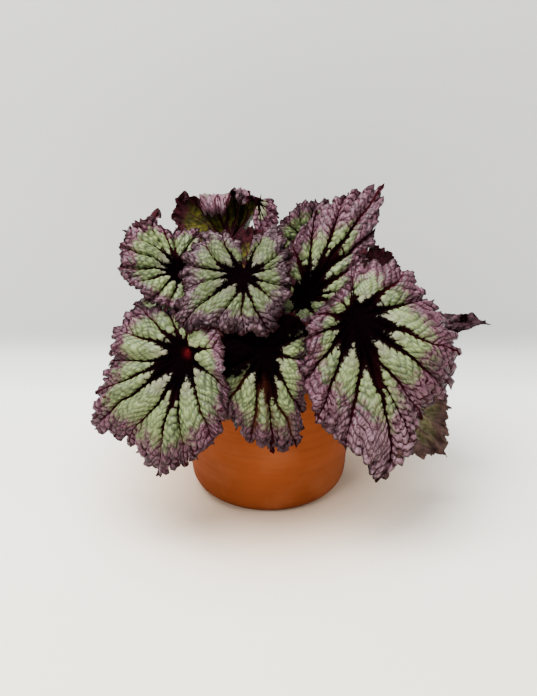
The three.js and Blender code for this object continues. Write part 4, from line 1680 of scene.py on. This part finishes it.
@dataclass(frozen=True)
class Studio:
    """The pale floor that sweeps up into a wall, the soft lights and the camera, with lengths in metres."""

    wall_y: float = 0.232
    wall_top: float = 2.4
    sweep: float = 0.035
    half_width: float = 3.0
    paper: str = "#E8E8E5"
    # painted warm light on the floor towards the front
    warm_lit_paper: str = "#E6DDCB"
    # a painted warm reflection of the pot on the paper round it
    painted_clay_bounce: str = "#CFB59C"
    # the wall's paper, painted greyer as shade
    wall: str = "#B5B6B5"
    room_light: str = "#EDEAE6"
    room_strength: float = 0.5
    camera_place: tuple[float, float, float] = (0.0, -0.816, 0.504)
    camera_tilt: float = 25.05
    sensor_mm: float = 36.0
    focal_px: float = 1080.0
    photo_height: int = 696
    aim: tuple[float, float, float] = (0, 0, 0.12)
    lamps: tuple[tuple[str, tuple[float, float, float], float, float], ...] = (
        ("overhead", (-0.35, -0.25, 1.45), 1.2, 78.0),
        ("front_left", (-1.0, -1.3, 1.3), 1.0, 30.0),
        ("front_right", (1.2, -0.9, 1.1), 0.9, 14.0),
    )

    def build(self) -> None:
        """Builds the camera, the backdrop and the lights."""
        self.build_camera()
        self.build_backdrop()
        self.build_lights()

    def build_camera(self) -> None:
        """Places the camera at the photograph's viewpoint."""
        data = bpy.data.cameras.new("camera")
        data.sensor_width = self.sensor_mm
        data.lens = self.focal_px / self.photo_height * self.sensor_mm
        camera = linked("camera", data)
        camera.location = self.camera_place
        camera.rotation_euler = (math.radians(90 - self.camera_tilt), 0, 0)
        bpy.context.scene.camera = camera

    def build_backdrop(self) -> None:
        """Extrudes the floor, the sweep and the wall from one line."""
        start = self.wall_y - self.sweep
        pairs = [(-self.half_width, 0.0), (start, 0.0)]
        for k in range(1, ROUND_STEPS + 1):
            turn = math.pi / 2 * k / ROUND_STEPS
            pairs.append((start + self.sweep * math.sin(turn), self.sweep * (1 - math.cos(turn))))
        pairs.append((self.wall_y, self.wall_top))
        bm = bmesh.new()
        verts = [bm.verts.new((-self.half_width, y, z)) for y, z in pairs]
        edges = [bm.edges.new(pair) for pair in zip(verts, verts[1:])]
        made = bmesh.ops.extrude_edge_only(bm, edges=edges)
        moved = [v for v in made["geom"] if isinstance(v, bmesh.types.BMVert)]
        bmesh.ops.translate(bm, verts=moved, vec=(2 * self.half_width, 0, 0))
        for face in bm.faces:
            face.normal_update()
            face.smooth = True
            if face.normal.z - face.normal.y < 0:
                face.normal_flip()
        backdrop = linked("paper_sweep", as_mesh(bm, "paper_sweep"))
        backdrop.data.materials.append(self.paper_material())

    def paper_material(self) -> bpy.types.Material:
        """Builds the matt paper, greyer up the wall as painted shade, with painted warm light towards the
        front and a painted warm reflection of the pot beside it, and seen through from its back.

        Returns:
            The material.
        """
        paper, add = new_material("matt_paper")
        place = add("TexCoord").outputs["Object"]
        parts = add("SeparateXYZ", {0: place})
        # painted shade: the paper greys from the floor up the sweep and the wall, where less light falls
        back_and_up = add("Math", {0: parts.outputs["Y"], 1: parts.outputs["Z"]}, operation="ADD")
        share = add("MapRange", {"Value": back_and_up, "From Min": 0.155, "From Max": 0.25})
        # painted warm light: the floor warms towards the front
        nearer = add("MapRange", {"Value": parts.outputs["Y"], "From Min": 0.15, "From Max": -0.35})
        # painted reflection: the paper warms towards the pot's colour close round the pot
        from_pot = add("VectorMath", {0: place}, operation="LENGTH").outputs["Value"]
        beside = add(
            "MapRange",
            {"Value": from_pot, "From Min": 0.06, "From Max": 0.21, "To Min": 1.0, "To Max": 0.0},
            **SMOOTH,
        )
        floor = add("Mix", {0: nearer, 6: self.paper, 7: self.warm_lit_paper}, **COLOUR)
        bounce_painted = add("Mix", {0: beside, 6: floor, 7: self.painted_clay_bounce}, **COLOUR)
        tone = add("Mix", {0: share, 6: bounce_painted, 7: self.wall}, **COLOUR)
        skin = add("BsdfPrincipled", {"Base Color": tone, "Roughness": 0.5, "Specular IOR Level": 0.3})
        back = add("NewGeometry").outputs["Backfacing"]
        both = add("MixShader", {0: back, 1: skin, 2: add("BsdfTransparent")})
        add("OutputMaterial", {"Surface": both})
        return paper

    def build_lights(self) -> None:
        """Hangs the soft lights and sets the even light of the room."""
        for name, place, size, power in self.lamps:
            data = bpy.data.lights.new(name, "AREA")
            data.shape = "DISK"
            data.size = size
            data.energy = power
            light = linked(name, data)
            light.location = place
            aim = Vector(self.aim) - Vector(place)
            light.rotation_euler = aim.to_track_quat("-Z", "Y").to_euler()
        world = bpy.data.worlds.new("room")
        world.use_nodes = True
        world.node_tree.nodes.clear()
        add = partial(add_node, world.node_tree)
        glow = add("Background", {"Color": self.room_light, "Strength": self.room_strength})
        add("OutputWorld", {"Surface": glow})
        bpy.context.scene.world = world


def main() -> None:
    """Builds the studio and the plant."""
    noise.seed_set(NOISE_SEED)
    pot = ClayPot()
    Studio().build()
    pot.build()
    PottingMix(pot).build()
    CreepingRhizome().build()
    Foliage().build()


if __name__ == "__main__":
    main()
